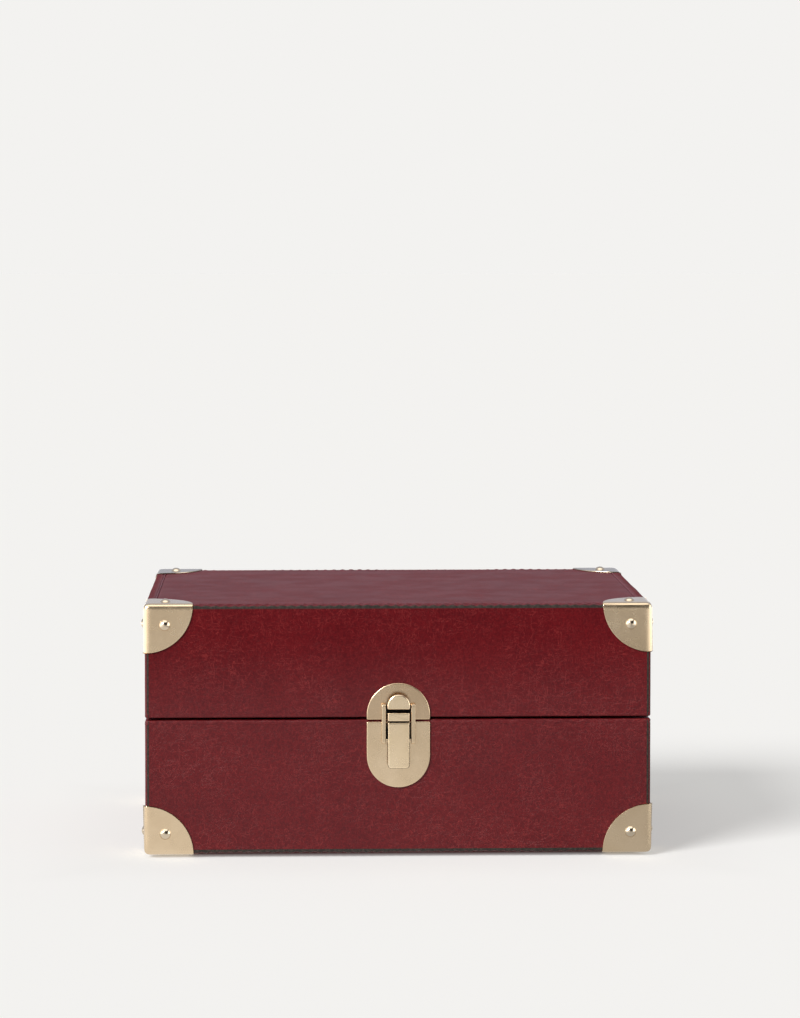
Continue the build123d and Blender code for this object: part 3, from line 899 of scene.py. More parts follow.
@dataclass
class Shell:
    """The outer leathers and the rim binding of one half."""

    plan: Plan
    finishes: Finishes
    half: Half
    upright_round: float = 1.45 * MM
    rim_round: float = 0.9 * MM
    seam_round: float = 0.12 * MM
    stitch_inset: float = 4.6 * MM
    stitch_pitch: float = 4.8 * MM
    groove_wide: float = 2.4 * MM
    groove_deep: float = 0.5 * MM
    thread: float = 0.85 * MM
    scallop: float = 0.5 * MM
    hidden_corner: float = 2.0 * MM

    def build(self) -> None:
        """Build and dress the half's leathers."""
        self.walls()
        self.side_walls()
        self.flat_leather()
        self.binding()

    def walls(self) -> None:
        """Front and back leathers, gently uneven over their boards."""
        for side in ("front", "back"):
            node = f"{self.half.word}_{side}_leather"
            piece = slab(f"{node}_panel", *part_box(node), 0.05 * MM, 1)
            divide(piece, Axis.X, (62,))
            divide(piece, Axis.Z, (14,))
            ripple(piece, 0.10 * MM, 14 * MM)
            smooth(piece)
            settle(piece, self.half.word, [self.finishes.leather], [node])

    def side_walls(self) -> None:
        """Side leathers, turned over at the upright corners with a painted cut edge."""
        for side, way in (("left", -1), ("right", 1)):
            node = f"{self.half.word}_{side}_leather"
            low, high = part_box(node)
            piece = block(f"{node}_panel", low, high)
            outer = low.x if way < 0 else high.x
            round_edges(piece, self.upright_round, 5,
                        lambda edge: runs_along(edge, Axis.Z) and abs(middle_of(edge).x - outer) < NEAR)
            divide(piece, Axis.Y, (50,))
            divide(piece, Axis.Z, (17,))
            ripple(piece, 0.09 * MM, 12 * MM)
            smooth(piece)
            paint_faces(piece, 1, lambda face: abs(face.normal.y) > 0.93)
            settle(piece, self.half.word, [self.finishes.leather, self.finishes.paint], [node])

    def flat_leather(self) -> None:
        """The top or bottom leather: a stitched groove all round and a scalloped, painted edge."""
        way = self.half.value
        node = "lid_top_leather" if way > 0 else "base_bottom_leather"
        low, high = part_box(node)
        level = high.z if way > 0 else low.z
        piece = block(f"{node}_panel", low, high)
        round_rim(piece, self.rim_round, 4, Axis.Z, way)
        lip = self.groove_wide / 4
        first = self.stitch_inset - self.groove_wide / 2 - self.rim_round
        with editing(piece):
            select(piece, Kind.FACE, lambda face: face.normal.z * way > SQUARE)
            for wide, rise in (
                (first / 2, 0.05 * MM), (first / 2, 0.0), (lip, -self.groove_deep / 2),
                (lip, -self.groove_deep / 2), (lip, self.groove_deep / 2), (lip, self.groove_deep / 2),
            ):
                bpy.ops.mesh.inset(thickness=wide, depth=rise)
        for axis, other, cuts in ((Axis.X, Axis.Y, (52, 5)), (Axis.Y, Axis.X, (36, 5))):
            side = other.value
            divide(piece, axis, cuts, lambda edge: min(
                middle_of(edge)[side] - low[side], high[side] - middle_of(edge)[side],
            ) < self.stitch_inset + self.groove_wide)
        self.scallops(piece, low, high, level)
        for x, y in ((low.x, low.y), (low.x, high.y), (high.x, low.y), (high.x, high.y)):
            out = Vector((math.copysign(1, x), math.copysign(1, y - self.plan.middle), 0)).normalized()
            slice_off(piece, Vector((x, y, 0)) - out * self.hidden_corner / math.sqrt(2), out)
        smooth(piece, 50)
        paint_faces(piece, 1, lambda face: abs(face.normal.z) < 0.62)
        paint_faces(piece, 2, lambda face: (face.center.z - level) * way < -0.12 * MM and abs(min(
            face.center.x - low.x, high.x - face.center.x, face.center.y - low.y, high.y - face.center.y,
        ) - self.stitch_inset) < self.groove_wide / 2)
        settle(piece, self.half.word,
               [self.finishes.top_leather if way > 0 else self.finishes.leather, self.finishes.paint,
                self.finishes.pressed], [node])
        seam = self.stitch_inset
        sewn = stitches(
            f"{self.half.word}_flat_stitches",
            (low.x + seam, low.y + seam), (high.x - seam, high.y - seam),
            level - way * 0.22 * MM, self.stitch_pitch, self.thread,
        )
        smooth(sewn)
        settle(sewn, self.half.word, [self.finishes.thread])

    def scallops(self, piece: Piece, low: Vector, high: Vector, level: float) -> None:
        """Pull the edge in at each stitch, so that it swells between them.

        Args:
            piece: The flat leather.
            low: Its lowest corner.
            high: Its highest corner.
            level: The height of its outer face.
        """
        way = self.half.value
        for vertex in piece.data.vertices:
            place = vertex.co
            if abs(place.z - level) > self.rim_round * 1.02:
                continue
            in_y = min(place.y - low.y, high.y - place.y)
            in_x = min(place.x - low.x, high.x - place.x)
            if min(in_x, in_y) > self.stitch_inset - self.groove_wide:
                continue
            along, start = (place.x, low.x) if in_y < in_x else (place.y, low.y)
            phase = math.cos(2 * math.pi * (along - start - self.stitch_inset) / self.stitch_pitch)
            slow = math.sin(along * 61.0) + 0.6 * math.sin(along * 143.0 + 1.0)
            place.z -= way * self.scallop * (0.5 + 0.5 * phase + 0.25 * slow)

    def binding(self) -> None:
        """The leather turned over the rim: rolled on the lid, gathered in small wrinkles on the base."""
        node = f"{self.half.word}_rim_welt"
        low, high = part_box(node)
        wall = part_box(f"{self.half.word}_wall_lining")[0].x - low.x + 1.2 * MM
        piece = hoop(f"{node}_roll", low, high, wall)
        round_edges(piece, self.upright_round, 5, lambda edge: (
            runs_along(edge, Axis.Z)
            and min(middle_of(edge).x - low.x, high.x - middle_of(edge).x) < NEAR))
        rim = high.z if self.half is Half.BASE else low.z
        for level, width in ((rim, self.rim_round), (low.z + high.z - rim, self.seam_round)):
            with editing(piece):
                select(piece, Kind.FACE, lambda face: (
                    abs(face.normal.z) < 0.5 and not self.inside(face, low, high)))
                bpy.ops.mesh.region_to_loop()
                self.keep_level(piece, level)
                bpy.ops.mesh.bevel(offset=width, segments=4, affect="EDGES")
        for axis, cuts in ((Axis.X, (63, 3)), (Axis.Y, (43, 3))):
            divide(piece, axis, cuts, lambda edge: length_of(edge) > 3 * MM)
        for edge_x, way in ((low.x, 1), (high.x, -1)):
            for inset in (self.upright_round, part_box(f"{self.half.word}_left_leather")[1].x - low.x):
                with editing(piece):
                    bpy.ops.mesh.select_all(action="SELECT")
                    bpy.ops.mesh.bisect(plane_co=(edge_x + way * inset, 0, 0), plane_no=(1, 0, 0))
        paint_faces(piece, 1, lambda face: abs(face.normal.y) > 0.6 and (
            self.upright_round < min(face.center.x - low.x, high.x - face.center.x) < 2.0 * MM))
        height, size = self.wrinkles
        ripple(piece, height, size)
        smooth(piece, 60)
        settle(piece, self.half.word, [self.finishes.leather, self.finishes.paint], [node])

    @property
    def wrinkles(self) -> tuple[float, float]:
        """Height and spacing of the rim's wrinkles: the base's rim is gathered, the lid's is drawn tight."""
        return (0.42 * MM, 3.0 * MM) if self.half is Half.BASE else (0.12 * MM, 8 * MM)

    @staticmethod
    def keep_level(piece: Piece, level: float) -> None:
        """Keep, of the selected edges, only those at one height."""
        shape = bmesh.from_edit_mesh(piece.data)
        wanted = [edge for edge in shape.edges if edge.select and all(
            abs(vertex.co.z - level) < SAME for vertex in edge.verts)]
        bpy.ops.mesh.select_mode(type="EDGE")
        bpy.ops.mesh.select_all(action="DESELECT")
        for edge in wanted:
            edge.select_set(True)
        bmesh.update_edit_mesh(piece.data)

    @staticmethod
    def inside(face: Any, low: Vector, high: Vector) -> bool:
        """Whether an upright face of the binding looks into the case."""
        place = face.calc_center_median()
        return min(place.x - low.x, high.x - place.x, place.y - low.y, high.y - place.y) > 4 * MM


# ---------------------------------------------------------------- metal corners


@dataclass
class Corners:
    """Eight pressed corner caps and the rivets through them."""

    plan: Plan
    finishes: Finishes
    radius: float = 24.5 * MM
    thick: float = 0.8 * MM
    soft: float = 4.6 * MM
    fullness: float = 0.68
    inner_round: float = 1.4 * MM
    rim_bevel: float = 0.4 * MM
    rivet_inset: float = 10.2 * MM
    head_radius: float = 2.8 * MM
    head_height: float = 1.5 * MM
    shank_radius: float = 1.2 * MM
    shank_length: float = 6.8 * MM

    def build(self) -> None:
        """Copy one cap to each corner and three rivets to each cap."""
        cap, rivet = self.cap(), self.rivet()
        for half in Half:
            rivets = []
            for front_word, y, face in (("front", self.plan.front, -1), ("rear", self.plan.back, 1)):
                for side_word, x, side in (("left", self.plan.left, -1), ("right", self.plan.right, 1)):
                    z = self.plan.top if half is Half.LID else self.plan.under
                    way = (side, face, half.value)
                    twin = moved(copied(cap, f"{half.word}_corner_{front_word}_{side_word}"),
                                 (x, y, z), scale=[-part for part in way])
                    smooth(twin, 30)
                    settle(twin, half.word, [self.metal(half, face)],
                           [f"{half.word}_cap_{front_word}_{side_word}"])
                    rivets += self.three_rivets(rivet, Vector((x, y, z)), way)
            piece = joined(f"{half.word}_corner_rivets", rivets)
            smooth(piece, 40)
            settle(piece, half.word, [self.finishes.polished], [f"{half.word}_cap_rivets"])
        for prototype in (cap, rivet):
            bpy.data.objects.remove(prototype, do_unlink=True)

    def metal(self, half: Half, face: int) -> bpy.types.Material:
        """The finish of one cap: the lid's rear ones take a much darker gilt, painted shade."""
        return self.finishes.aged_satin if face > 0 and half is Half.LID else self.finishes.satin

    def cap(self) -> Piece:
        """One cap round a corner at the origin, over a case that fills x, y and z above 0."""
        far = self.radius * 1.4
        cap = block("cap", (-self.thick,) * 3, (far,) * 3)
        corner = Vector((-self.thick,) * 3)
        round_edges(cap, self.soft, 10,
                    lambda edge: min((v.co - corner).length for v in edge.verts) < NEAR, self.fullness)
        case = block("case", (0, 0, 0), (far * 1.2,) * 3)
        round_edges(case, self.inner_round, 4,
                    lambda edge: min(v.co.length for v in edge.verts) < NEAR)
        cut_with(cap, case, "DIFFERENCE")
        put_down_all()
        bpy.ops.mesh.primitive_uv_sphere_add(segments=160, ring_count=80, radius=self.radius)
        ball = placed("ball")
        cut_with(cap, ball, "INTERSECT")
        with editing(cap):
            bpy.ops.mesh.select_all(action="SELECT")
            bpy.ops.mesh.remove_doubles(threshold=SAME)
            select(cap, Kind.EDGE, self.on_outer_rim)
            bpy.ops.mesh.bevel(offset=self.rim_bevel, segments=2, affect="EDGES")
        return cap

    def on_outer_rim(self, edge: Any) -> bool:
        """Whether an edge lies where the cap's outer skin meets its round rim."""
        for vertex in edge.verts:
            if abs(vertex.co.length - self.radius) > 0.03 * MM:
                return False
        flats = [face.normal.dot(face.calc_center_median().normalized()) for face in edge.link_faces]
        return len(flats) == 2 and max(flats) > 0.9 and min(flats) < 0.6 and self.is_outer(edge)

    def is_outer(self, edge: Any) -> bool:
        """Whether an edge lies on the cap's outer skin and not on its inner one."""
        place = middle_of(edge)
        return min(place) < 0.0 or sorted(place)[0] < self.inner_round * 0.2

    def rivet(self) -> Piece:
        """One domed rivet at the origin, its head up."""
        rivet = dome("rivet", self.head_radius, self.head_height, 36, 44)
        with editing(rivet):
            select(rivet, Kind.FACE, lambda face: face.normal.z < -0.9)
            bpy.ops.mesh.inset(thickness=self.head_radius - self.shank_radius)
            bpy.ops.mesh.extrude_region_move(TRANSFORM_OT_translate={"value": (0, 0, -self.shank_length)})
        return rivet

    def three_rivets(self, rivet: Piece, corner: Vector, way: Sequence[int]) -> list[Piece]:
        """Copy the rivet to the three faces of one corner.

        Args:
            rivet: The rivet to copy.
            corner: The leather's corner.
            way: The outward direction of the corner along each axis.

        Returns:
            The three rivets.
        """
        turns = {
            Axis.X: (0, way[0] * math.pi / 2, 0),
            Axis.Y: (-way[1] * math.pi / 2, 0, 0),
            Axis.Z: (0 if way[2] > 0 else math.pi, 0, 0),
        }
        rivets = []
        for axis, turn in turns.items():
            place = corner - Vector(way) * self.rivet_inset
            place[axis.value] = corner[axis.value] + way[axis.value] * self.thick
            rivets.append(moved(copied(rivet, "rivet_copy"), place, turn))
        return rivets


# ---------------------------------------------------------------- latch


@dataclass
class Latch:
    """The draw latch: two plates, the keeper's tongue, the lever and the bail.

    The heights of the lever, its bar, the slot and the tongue's low end are measured from the lever's pin.
    """

    plan: Plan
    finishes: Finishes
    plate_wide: float = 32.3 * MM
    plate_thick: float = 1.0 * MM
    plate_bevel: float = 0.6 * MM
    plate_corner: float = 0.6 * MM
    lever_wide: float = 11.0 * MM
    lever_thick: float = 1.2 * MM
    lever_drop: float = 25.85 * MM
    lever_gap: float = 2.4 * MM
    lever_corner: float = 1.8 * MM
    face_round: float = 0.75 * MM
    ear_thick: float = 1.2 * MM
    ear_round: float = 1.6 * MM
    knuckle: float = 2.15 * MM
    knuckle_half: float = 4.4 * MM
    bar_low: float = -1.7 * MM
    bar_high: float = 2.5 * MM
    bar_proud: float = 0.45 * MM
    lug_thick: float = 0.95 * MM
    lug_clear: float = 0.2 * MM
    pin: float = 0.75 * MM
    bail_pin_half: float = 8.55 * MM
    arm_inner: float = 6.4 * MM
    arm_round: float = 0.98 * MM
    hook_inner: float = 3.7 * MM
    hook: float = 0.8 * MM
    tongue_wide: float = 11.55 * MM
    tongue_high: float = 7.6 * MM
    tongue_rise: float = 4.35 * MM
    tongue_out: float = 4.8 * MM
    tongue_thick: float = 1.2 * MM
    root_half: float = 3.0 * MM
    root_thick: float = 1.1 * MM
    shim_half: float = 6.35 * MM
    shim_proud: float = 0.12 * MM
    slot_drop: float = 12.2 * MM

    def __post_init__(self) -> None:
        """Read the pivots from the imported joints."""
        self.pivot, self.bail_pivot = joint_place("lever_pivot"), joint_place("bail_pivot")
        self.face = self.plan.front - self.plate_thick

    def build(self) -> None:
        """Build and dress every piece of the latch."""
        kept = self.finishes
        # Slot 1 is black painted shade, slot 2 a darker gilt of painted shade, slot 3 a lighter gilt of
        # painted light.
        gilt = [kept.satin, kept.black, kept.deep_satin, kept.bright_satin]
        lugs_half = self.knuckle_half + self.lug_clear + self.lug_thick
        for piece, body, nodes in (
            (self.lower_plate(), "base", ["latch_plate"]),
            (self.keeper(), "lid", ["keeper_plate"]),
            (self.lever(), "lever", ["lever"]),
            (self.pivot_pin("lever_hinge_pin", self.pivot, lugs_half), "base", ["lever_pin"]),
            (self.pivot_pin("bail_hinge_pin", self.bail_pivot, self.bail_pin_half), "bail", ["bail_pin"]),
            (self.arm("left", -1), "bail", ["bail_arm_left"]),
            (self.arm("right", 1), "bail", ["bail_arm_right"]),
        ):
            smooth(piece, 35)
            settle(piece, body, gilt, nodes)
        self.dark_slips()

    def dark_slips(self) -> None:
        """Black pieces of painted shade that show in the slots: the lever's neck, and a sheet on each plate.
        """
        face = self.pivot.y - self.knuckle
        for name, body, low, high, soft in (
            ("latch_lever_neck", "lever",
             (-self.knuckle_half, face + 0.8 * MM, self.pivot.z - self.lever_gap - 0.6 * MM),
             (self.knuckle_half, face + self.lever_thick, self.pivot.z), 0.1 * MM),
            ("latch_base_shim", "base",
             (-self.shim_half, self.face - self.shim_proud, self.pivot.z - self.slot_drop),
             (self.shim_half, self.face + 0.3 * MM, self.plan.base_rim - 1.4 * MM), 0.05 * MM),
            ("latch_lid_shim", "lid",
             (-self.shim_half, self.face - self.shim_proud, self.plan.lid_rim - 0.8 * MM),
             (self.shim_half, self.face + 0.3 * MM, self.pivot.z + self.tongue_rise + 0.5 * MM), 0.05 * MM),
        ):
            piece = slab(name, low, high, soft, 1)
            smooth(piece)
            settle(piece, body, [self.finishes.black])

    def rounded_plate(
        self, name: str, way: int, end: float, straight: float, wide: float, y: float, thick: float,
        bevel: float,
    ) -> Piece:
        """A flat plate with one round end.

        Args:
            name: The piece's name.
            way: 1 if the round end is up, -1 if it is down.
            end: The height of the round end's tip.
            straight: The height of the straight edge.
            wide: The plate's width.
            y: The plate's back.
            thick: Its thickness.
            bevel: The width of the bevel round its front.

        Returns:
            The new piece.
        """
        centre = end - way * wide / 2
        piece = rod(name, (0, y - thick / 2, centre), wide / 2, thick, Axis.Y, 120)
        slice_off(piece, (0, 0, centre), (0, 0, -way))
        pull_face(piece, Axis.Z, -way, (0, 0, straight - centre))
        round_edges(piece, self.plate_corner, 4, lambda edge: (
            runs_along(edge, Axis.Y) and abs(middle_of(edge).z - straight) < SAME
            and abs(abs(middle_of(edge).x) - wide / 2) < SAME))
        round_rim(piece, bevel, 3, Axis.Y, -1)
        return piece

    def lower_plate(self) -> Piece:
        """The plate on the base, with the two lugs that carry the lever's pin."""
        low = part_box("latch_plate")[0].z
        plate = self.rounded_plate("latch_lower_plate", -1, low, self.plan.base_rim - 0.9 * MM,
                                   self.plate_wide, self.plan.front, self.plate_thick, self.plate_bevel)
        lugs = []
        for way in (-1, 1):
            x = way * (self.knuckle_half + self.lug_clear + self.lug_thick / 2)
            lug = rod("lug", (x, self.pivot.y, self.pivot.z), self.knuckle - 0.15 * MM, self.lug_thick,
                      Axis.X)
            with editing(lug):
                select(lug, Kind.VERT, lambda v: v.co.y > self.pivot.y + 0.2 * MM or (
                    v.co.z < self.pivot.z - 1.9 * MM and v.co.y > self.pivot.y - 0.8 * MM))
                bpy.ops.transform.translate(value=(0, 1.1 * MM, -3.4 * MM))
            round_ends(lug, 0.18 * MM, 2)
            lugs.append(lug)
        return joined("latch_lower_plate", [plate, *lugs])

    def keeper(self) -> Piece:
        """The plate on the lid, with its tongue on a root."""
        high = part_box("keeper_plate")[1].z
        plate = self.rounded_plate("latch_upper_plate", 1, high, self.plan.lid_rim - 1.15 * MM,
                                   self.plate_wide, self.plan.front, self.plate_thick, self.plate_bevel)
        low = self.pivot.z + self.tongue_rise
        tongue = self.rounded_plate("tongue", 1, low + self.tongue_high, low, self.tongue_wide,
                                    self.face - self.tongue_out, self.tongue_thick, self.face_round)
        root = slab("root", (-self.root_half, self.face - self.tongue_out - 0.3 * MM, low),
                    (self.root_half, self.face + 0.3 * MM, low + self.root_thick), 0.15 * MM, 2)
        piece = joined("latch_upper_plate", [plate, tongue, root])
        # The keeper plate takes the darker gilt, painted shade.
        paint_faces(piece, 2, lambda face: face.center.y > self.face - NEAR)
        # The tongue's front takes the lighter gilt, a painted highlight.
        paint_faces(piece, 3, lambda face: face.center.y < self.face - 3 * MM)
        return piece

    def lever(self) -> Piece:
        """The lever: a finger plate, a rolled knuckle on the pin and two ears for the bail."""
        face = self.pivot.y - self.knuckle
        half = self.lever_wide / 2
        top, tip = self.pivot.z - self.lever_gap, self.pivot.z - self.lever_drop
        plate = block("latch_lever", (-half, face, tip), (half, face + self.lever_thick, top))
        round_edges(plate, self.lever_corner, 6, lambda edge: (
            runs_along(edge, Axis.Y) and middle_of(edge).z < tip + NEAR))
        round_edges(plate, 0.5 * MM, 3, lambda edge: (
            runs_along(edge, Axis.Y) and middle_of(edge).z > top - NEAR))
        round_rim(plate, self.face_round, 4, Axis.Y, -1)
        roll = rod("roll", self.pivot, self.knuckle, 2 * self.knuckle_half, Axis.X, 48)
        round_ends(roll, 0.3 * MM, 3)
        bar = block("bar", (-half, face - self.bar_proud, self.pivot.z + self.bar_low),
                    (half, face + 0.3 * MM, self.pivot.z + self.bar_high))
        round_edges(bar, 0.5 * MM, 3, lambda edge: runs_along(edge, Axis.Y))
        round_rim(bar, 0.6 * MM, 4, Axis.Y, -1)
        ears = []
        for way in (-1, 1):
            x = way * (half - self.ear_thick / 2)
            ear = rod("ear", (x, self.bail_pivot.y, self.bail_pivot.z), self.ear_round, self.ear_thick,
                      Axis.X, 32)
            with editing(ear):
                select(ear, Kind.VERT, lambda v: v.co.y < self.bail_pivot.y - 0.2 * MM)
                bpy.ops.transform.translate(
                    value=(0, face + self.lever_thick - self.bail_pivot.y + 0.6 * MM, 0))
            ears.append(ear)
        lever = joined("latch_lever", [plate, roll, bar, *ears])
        # The lever's front faces take the lighter gilt, painted light.
        paint_faces(lever, 3, lambda face: face.normal.y < -0.75)
        foot = self.pivot.z + self.bar_low
        # Its side faces below the bar are black: a painted dark outline of shade.
        paint_faces(lever, 1, lambda face: -0.75 <= face.normal.y < 0.1 and face.center.z < foot)
        return lever

    def pivot_pin(self, name: str, centre: Vector, half: float) -> Piece:
        """A pin along X with peened ends."""
        piece = rod(name, centre, self.pin, 2 * half, Axis.X, 24)
        round_ends(piece, 0.25 * MM, 3)
        return piece

    def arm(self, side: str, way: int) -> Piece:
        """One arm of the bail, rounded at both ends, with the hook that draws the tongue down.

        Args:
            side: Its side's name.
            way: -1 for left, 1 for right.

        Returns:
            The new piece.
        """
        low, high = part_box(f"bail_arm_{side}")
        inner, hook_long = self.arm_inner, self.arm_inner - self.hook_inner
        x_low, x_high = (low.x, -inner) if way < 0 else (inner, high.x)
        piece = block(f"latch_bail_{side}", (x_low, low.y, low.z), (x_high, high.y, high.z))
        round_edges(piece, self.arm_round, 6, lambda edge: runs_along(edge, Axis.X))
        round_edges(piece, 0.3 * MM, 3, lambda edge: (
            not runs_along(edge, Axis.X)
            and max(abs(face.normal.x) for face in edge.link_faces) > SQUARE))
        hook = rod("hook", (way * (inner + self.hook_inner) / 2, self.face - 2.4 * MM, high.z - 1.2 * MM),
                   self.hook, hook_long + 0.4 * MM, Axis.X, 24)
        round_ends(hook, 0.2 * MM, 2)
        bail = joined(f"latch_bail_{side}", [piece, hook])
        # The arm's inner faces are black: painted shade in the slot beside the lever.
        paint_faces(bail, 1, lambda face: face.center.x * way < inner - 0.05 * MM)
        return bail


# ---------------------------------------------------------------- back hinges


@dataclass
class Hinges:
    """Two butt hinges on the back, with slotted screws."""

    plan: Plan
    finishes: Finishes
    spread: float = 78 * MM
    length: float = 38 * MM
    leaf_thick: float = 1.2 * MM
    leaf_high: float = 17 * MM
    barrel: float = 2.5 * MM
    clear: float = 0.35 * MM
    side_gap: float = 0.3 * MM
    knuckles: int = 5
    pin: float = 1.1 * MM
    leaf_corner: float = 2.2 * MM
    screw_spread: float = 13 * MM
    screw_drop: float = 11 * MM
    head_radius: float = 2.1 * MM
    head_height: float = 0.9 * MM
    slot_half: float = 0.27 * MM
    slot_deep: float = 0.5 * MM

    def __post_init__(self) -> None:
        """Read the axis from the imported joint."""
        self.axis = joint_place("lid_hinge")

    def build(self) -> None:
        """Build both halves, the pins and the screws."""
        screw = self.screw()
        for half in Half:
            leaves = self.leaves(half)
            smooth(leaves, 35)
            settle(leaves, half.word, [self.finishes.satin], [f"{half.word}_hinge_leaves"])
            screws = []
            for x in (-self.spread, self.spread):
                for step in (-1, 0, 1):
                    place = (x + step * self.screw_spread, self.plan.back + self.leaf_thick,
                             self.axis.z + half.value * self.screw_drop)
                    turn = (-math.pi / 2, 0, 0)
                    spun = moved(copied(screw, "screw_copy"), turn=(0, 0, 0.5 + 0.9 * step + x * 9))
                    screws.append(moved(spun, place, turn))
            piece = joined(f"{half.word}_hinge_screw_set", screws)
            smooth(piece, 35)
            settle(piece, half.word, [self.finishes.polished], [f"{half.word}_hinge_screws"])
        bpy.data.objects.remove(screw, do_unlink=True)
        pins = []
        for x in (-self.spread, self.spread):
            pin = rod("pin", (x, self.axis.y, self.axis.z), self.pin, self.length, Axis.X, 28)
            round_ends(pin, 0.3 * MM, 3)
            pins.append(pin)
        piece = joined("hinge_pin_pair", pins)
        smooth(piece)
        settle(piece, "base", [self.finishes.satin], ["hinge_pins"])

    def leaves(self, half: Half) -> Piece:
        """The two leaves of one half, each with its knuckles round the pin."""
        step = (self.length + self.side_gap) / self.knuckles
        long = step - self.side_gap
        start = self.barrel + self.clear
        first, count = (0, 3) if half is Half.BASE else (1, 2)
        parts = []
        for x in (-self.spread, self.spread):
            zs = sorted((self.axis.z + half.value * start, self.axis.z + half.value * self.leaf_high))
            back = self.plan.back
            leaf = block("leaf", (x - self.length / 2, back, zs[0]),
                         (x + self.length / 2, back + self.leaf_thick, zs[1]))
            tip = self.axis.z + half.value * self.leaf_high
            round_edges(leaf, self.leaf_corner, 6, lambda edge: (
                runs_along(edge, Axis.Y) and abs(middle_of(edge).z - tip) < NEAR))
            round_rim(leaf, 0.35 * MM, 3, Axis.Y, 1)
            at = x - self.length / 2 + first * step + long / 2
            barrel = rod("barrel", (at, self.axis.y, self.axis.z), self.barrel, long, Axis.X)
            round_ends(barrel, 0.25 * MM, 2)
            row_of(barrel, count, (2 * step, 0, 0))
            foot = min(self.axis.z, zs[0])
            head = max(self.axis.z, zs[0] + 0.5 * MM) if half is Half.LID else self.axis.z
            strap = block("strap", (at - long / 2 + 0.2 * MM, back + 0.05 * MM, foot),
                          (at + long / 2 - 0.2 * MM, back + self.leaf_thick - 0.05 * MM, head))
            slice_off(strap, (0, 0, self.axis.z + half.value * (start + 0.5 * MM)), (0, 0, half.value))
            row_of(strap, count, (2 * step, 0, 0))
            parts += [leaf, barrel, strap]
        return joined(f"{half.word}_hinge_leaf_pair", parts)

    def screw(self) -> Piece:
        """One domed, slotted screw head at the origin, its head up; no shank is drawn."""
        screw = dome("screw", self.head_radius, self.head_height, 28, 40)
        wide = self.head_radius * 1.5
        slot = block("slot", (-wide, -self.slot_half, self.head_height - self.slot_deep),
                     (wide, self.slot_half, 2 * MM))
        cut_with(screw, slot, "DIFFERENCE")
        return screw


# ---------------------------------------------------------------- interior


def wrapped(name: str, parts: Sequence[Piece], body: str, node: str, suede: bpy.types.Material) -> None:
    """Join suede-covered boards, dress them and tie them to a body.

    Args:
        name: The finished piece's name.
        parts: Its boards.
        body: The body that it moves with.
        node: The CAD node that it stands for.
        suede: Its finish.
    """
    piece = joined(name, parts)
    smooth(piece, 60)
    settle(piece, body, [suede], [node])


@dataclass
class Lining:
    """Suede-covered card on the walls, the floor pad, the lid's pad and the mirror."""

    finishes: Finishes
    card: float = 1.2 * MM
    mirror_margin: float = 9.0 * MM
    mirror_lip: float = 1.5 * MM
    mirror_seam: float = 3.0 * MM
    mirror_pitch: float = 3.6 * MM
    mirror_thread: float = 0.6 * MM

    def build(self) -> None:
        """Build and dress the lining."""
        for half in Half:
            node = f"{half.word}_wall_lining"
            piece = hoop(f"{node}_card", *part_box(node), self.card)
            round_edges(piece, 0.3 * MM, 2, lambda edge: not runs_along(edge, Axis.Z) and (
                runs_along(edge, Axis.X) or runs_along(edge, Axis.Y)))
            for axis, cuts in ((Axis.X, 40), (Axis.Y, 28)):
                divide(piece, axis, (cuts,), lambda edge: length_of(edge) > 9 * MM)
            smooth(piece)
            settle(piece, half.word, [self.finishes.suede], [node])
        self.floor_pad()
        self.lid_pad()
        self.mirror()

    def floor_pad(self) -> None:
        """The thin pad on the floor."""
        low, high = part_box("base_floor_pad")
        piece = slab("floor_pad_suede", low, high - Vector((0, 0, 0.25 * MM)), 0.7 * MM, 3)
        puff(piece, 2.6 * MM, 0.25 * MM, lambda place: place.z < low.z + 0.5 * MM)
        smooth(piece, 60)
        settle(piece, "base", [self.finishes.suede], ["base_floor_pad"])

    def lid_pad(self) -> None:
        """The padded panel in the lid, flat where the mirror's frame is sewn to it."""
        low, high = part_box("lid_pad")
        frame_low, frame_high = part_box("mirror_frame")
        margin = 3 * MM

        def held(place: Vector) -> bool:
            """Whether a point is glued to the board or lies under the mirror."""
            under_mirror = (
                frame_low.x - margin < place.x < frame_high.x + margin
                and frame_low.y - margin < place.y < frame_high.y + margin
            )
            return place.z > high.z - 1.0 * MM or under_mirror

        piece = slab("lid_pad_suede", low, high, 1.6 * MM, 4)
        puff(piece, 2.5 * MM, 1.3 * MM, held)
        smooth(piece, 60)
        settle(piece, "lid", [self.finishes.suede], ["lid_pad"])

    def mirror(self) -> None:
        """The mirror's stitched leather frame, its lip over the glass."""
        low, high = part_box("mirror_frame")
        lip_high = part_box("mirror_glass")[0].z
        frame_piece = hoop("mirror_leather_frame", low, high, self.mirror_margin)
        lip = hoop("lip", low, (high.x, high.y, lip_high), self.mirror_margin + self.mirror_lip)
        for piece in (frame_piece, lip):
            round_edges(piece, 0.25 * MM, 2, lambda edge: (
                runs_along(edge, Axis.X) or runs_along(edge, Axis.Y)) and middle_of(edge).z < low.z + SAME)
        whole = joined("mirror_leather_frame", [frame_piece, lip])
        smooth(whole)
        settle(whole, "lid", [self.finishes.leather], ["mirror_frame"])
        seam = self.mirror_seam
        sewn = stitches("mirror_frame_stitches", (low.x + seam, low.y + seam), (high.x - seam, high.y - seam),
                        low.z, self.mirror_pitch, self.mirror_thread)
        smooth(sewn)
        settle(sewn, "lid", [self.finishes.thread])
        glass = frame["nodes"]["mirror_glass"]
        glass.material_slots[0].material = self.finishes.mirror


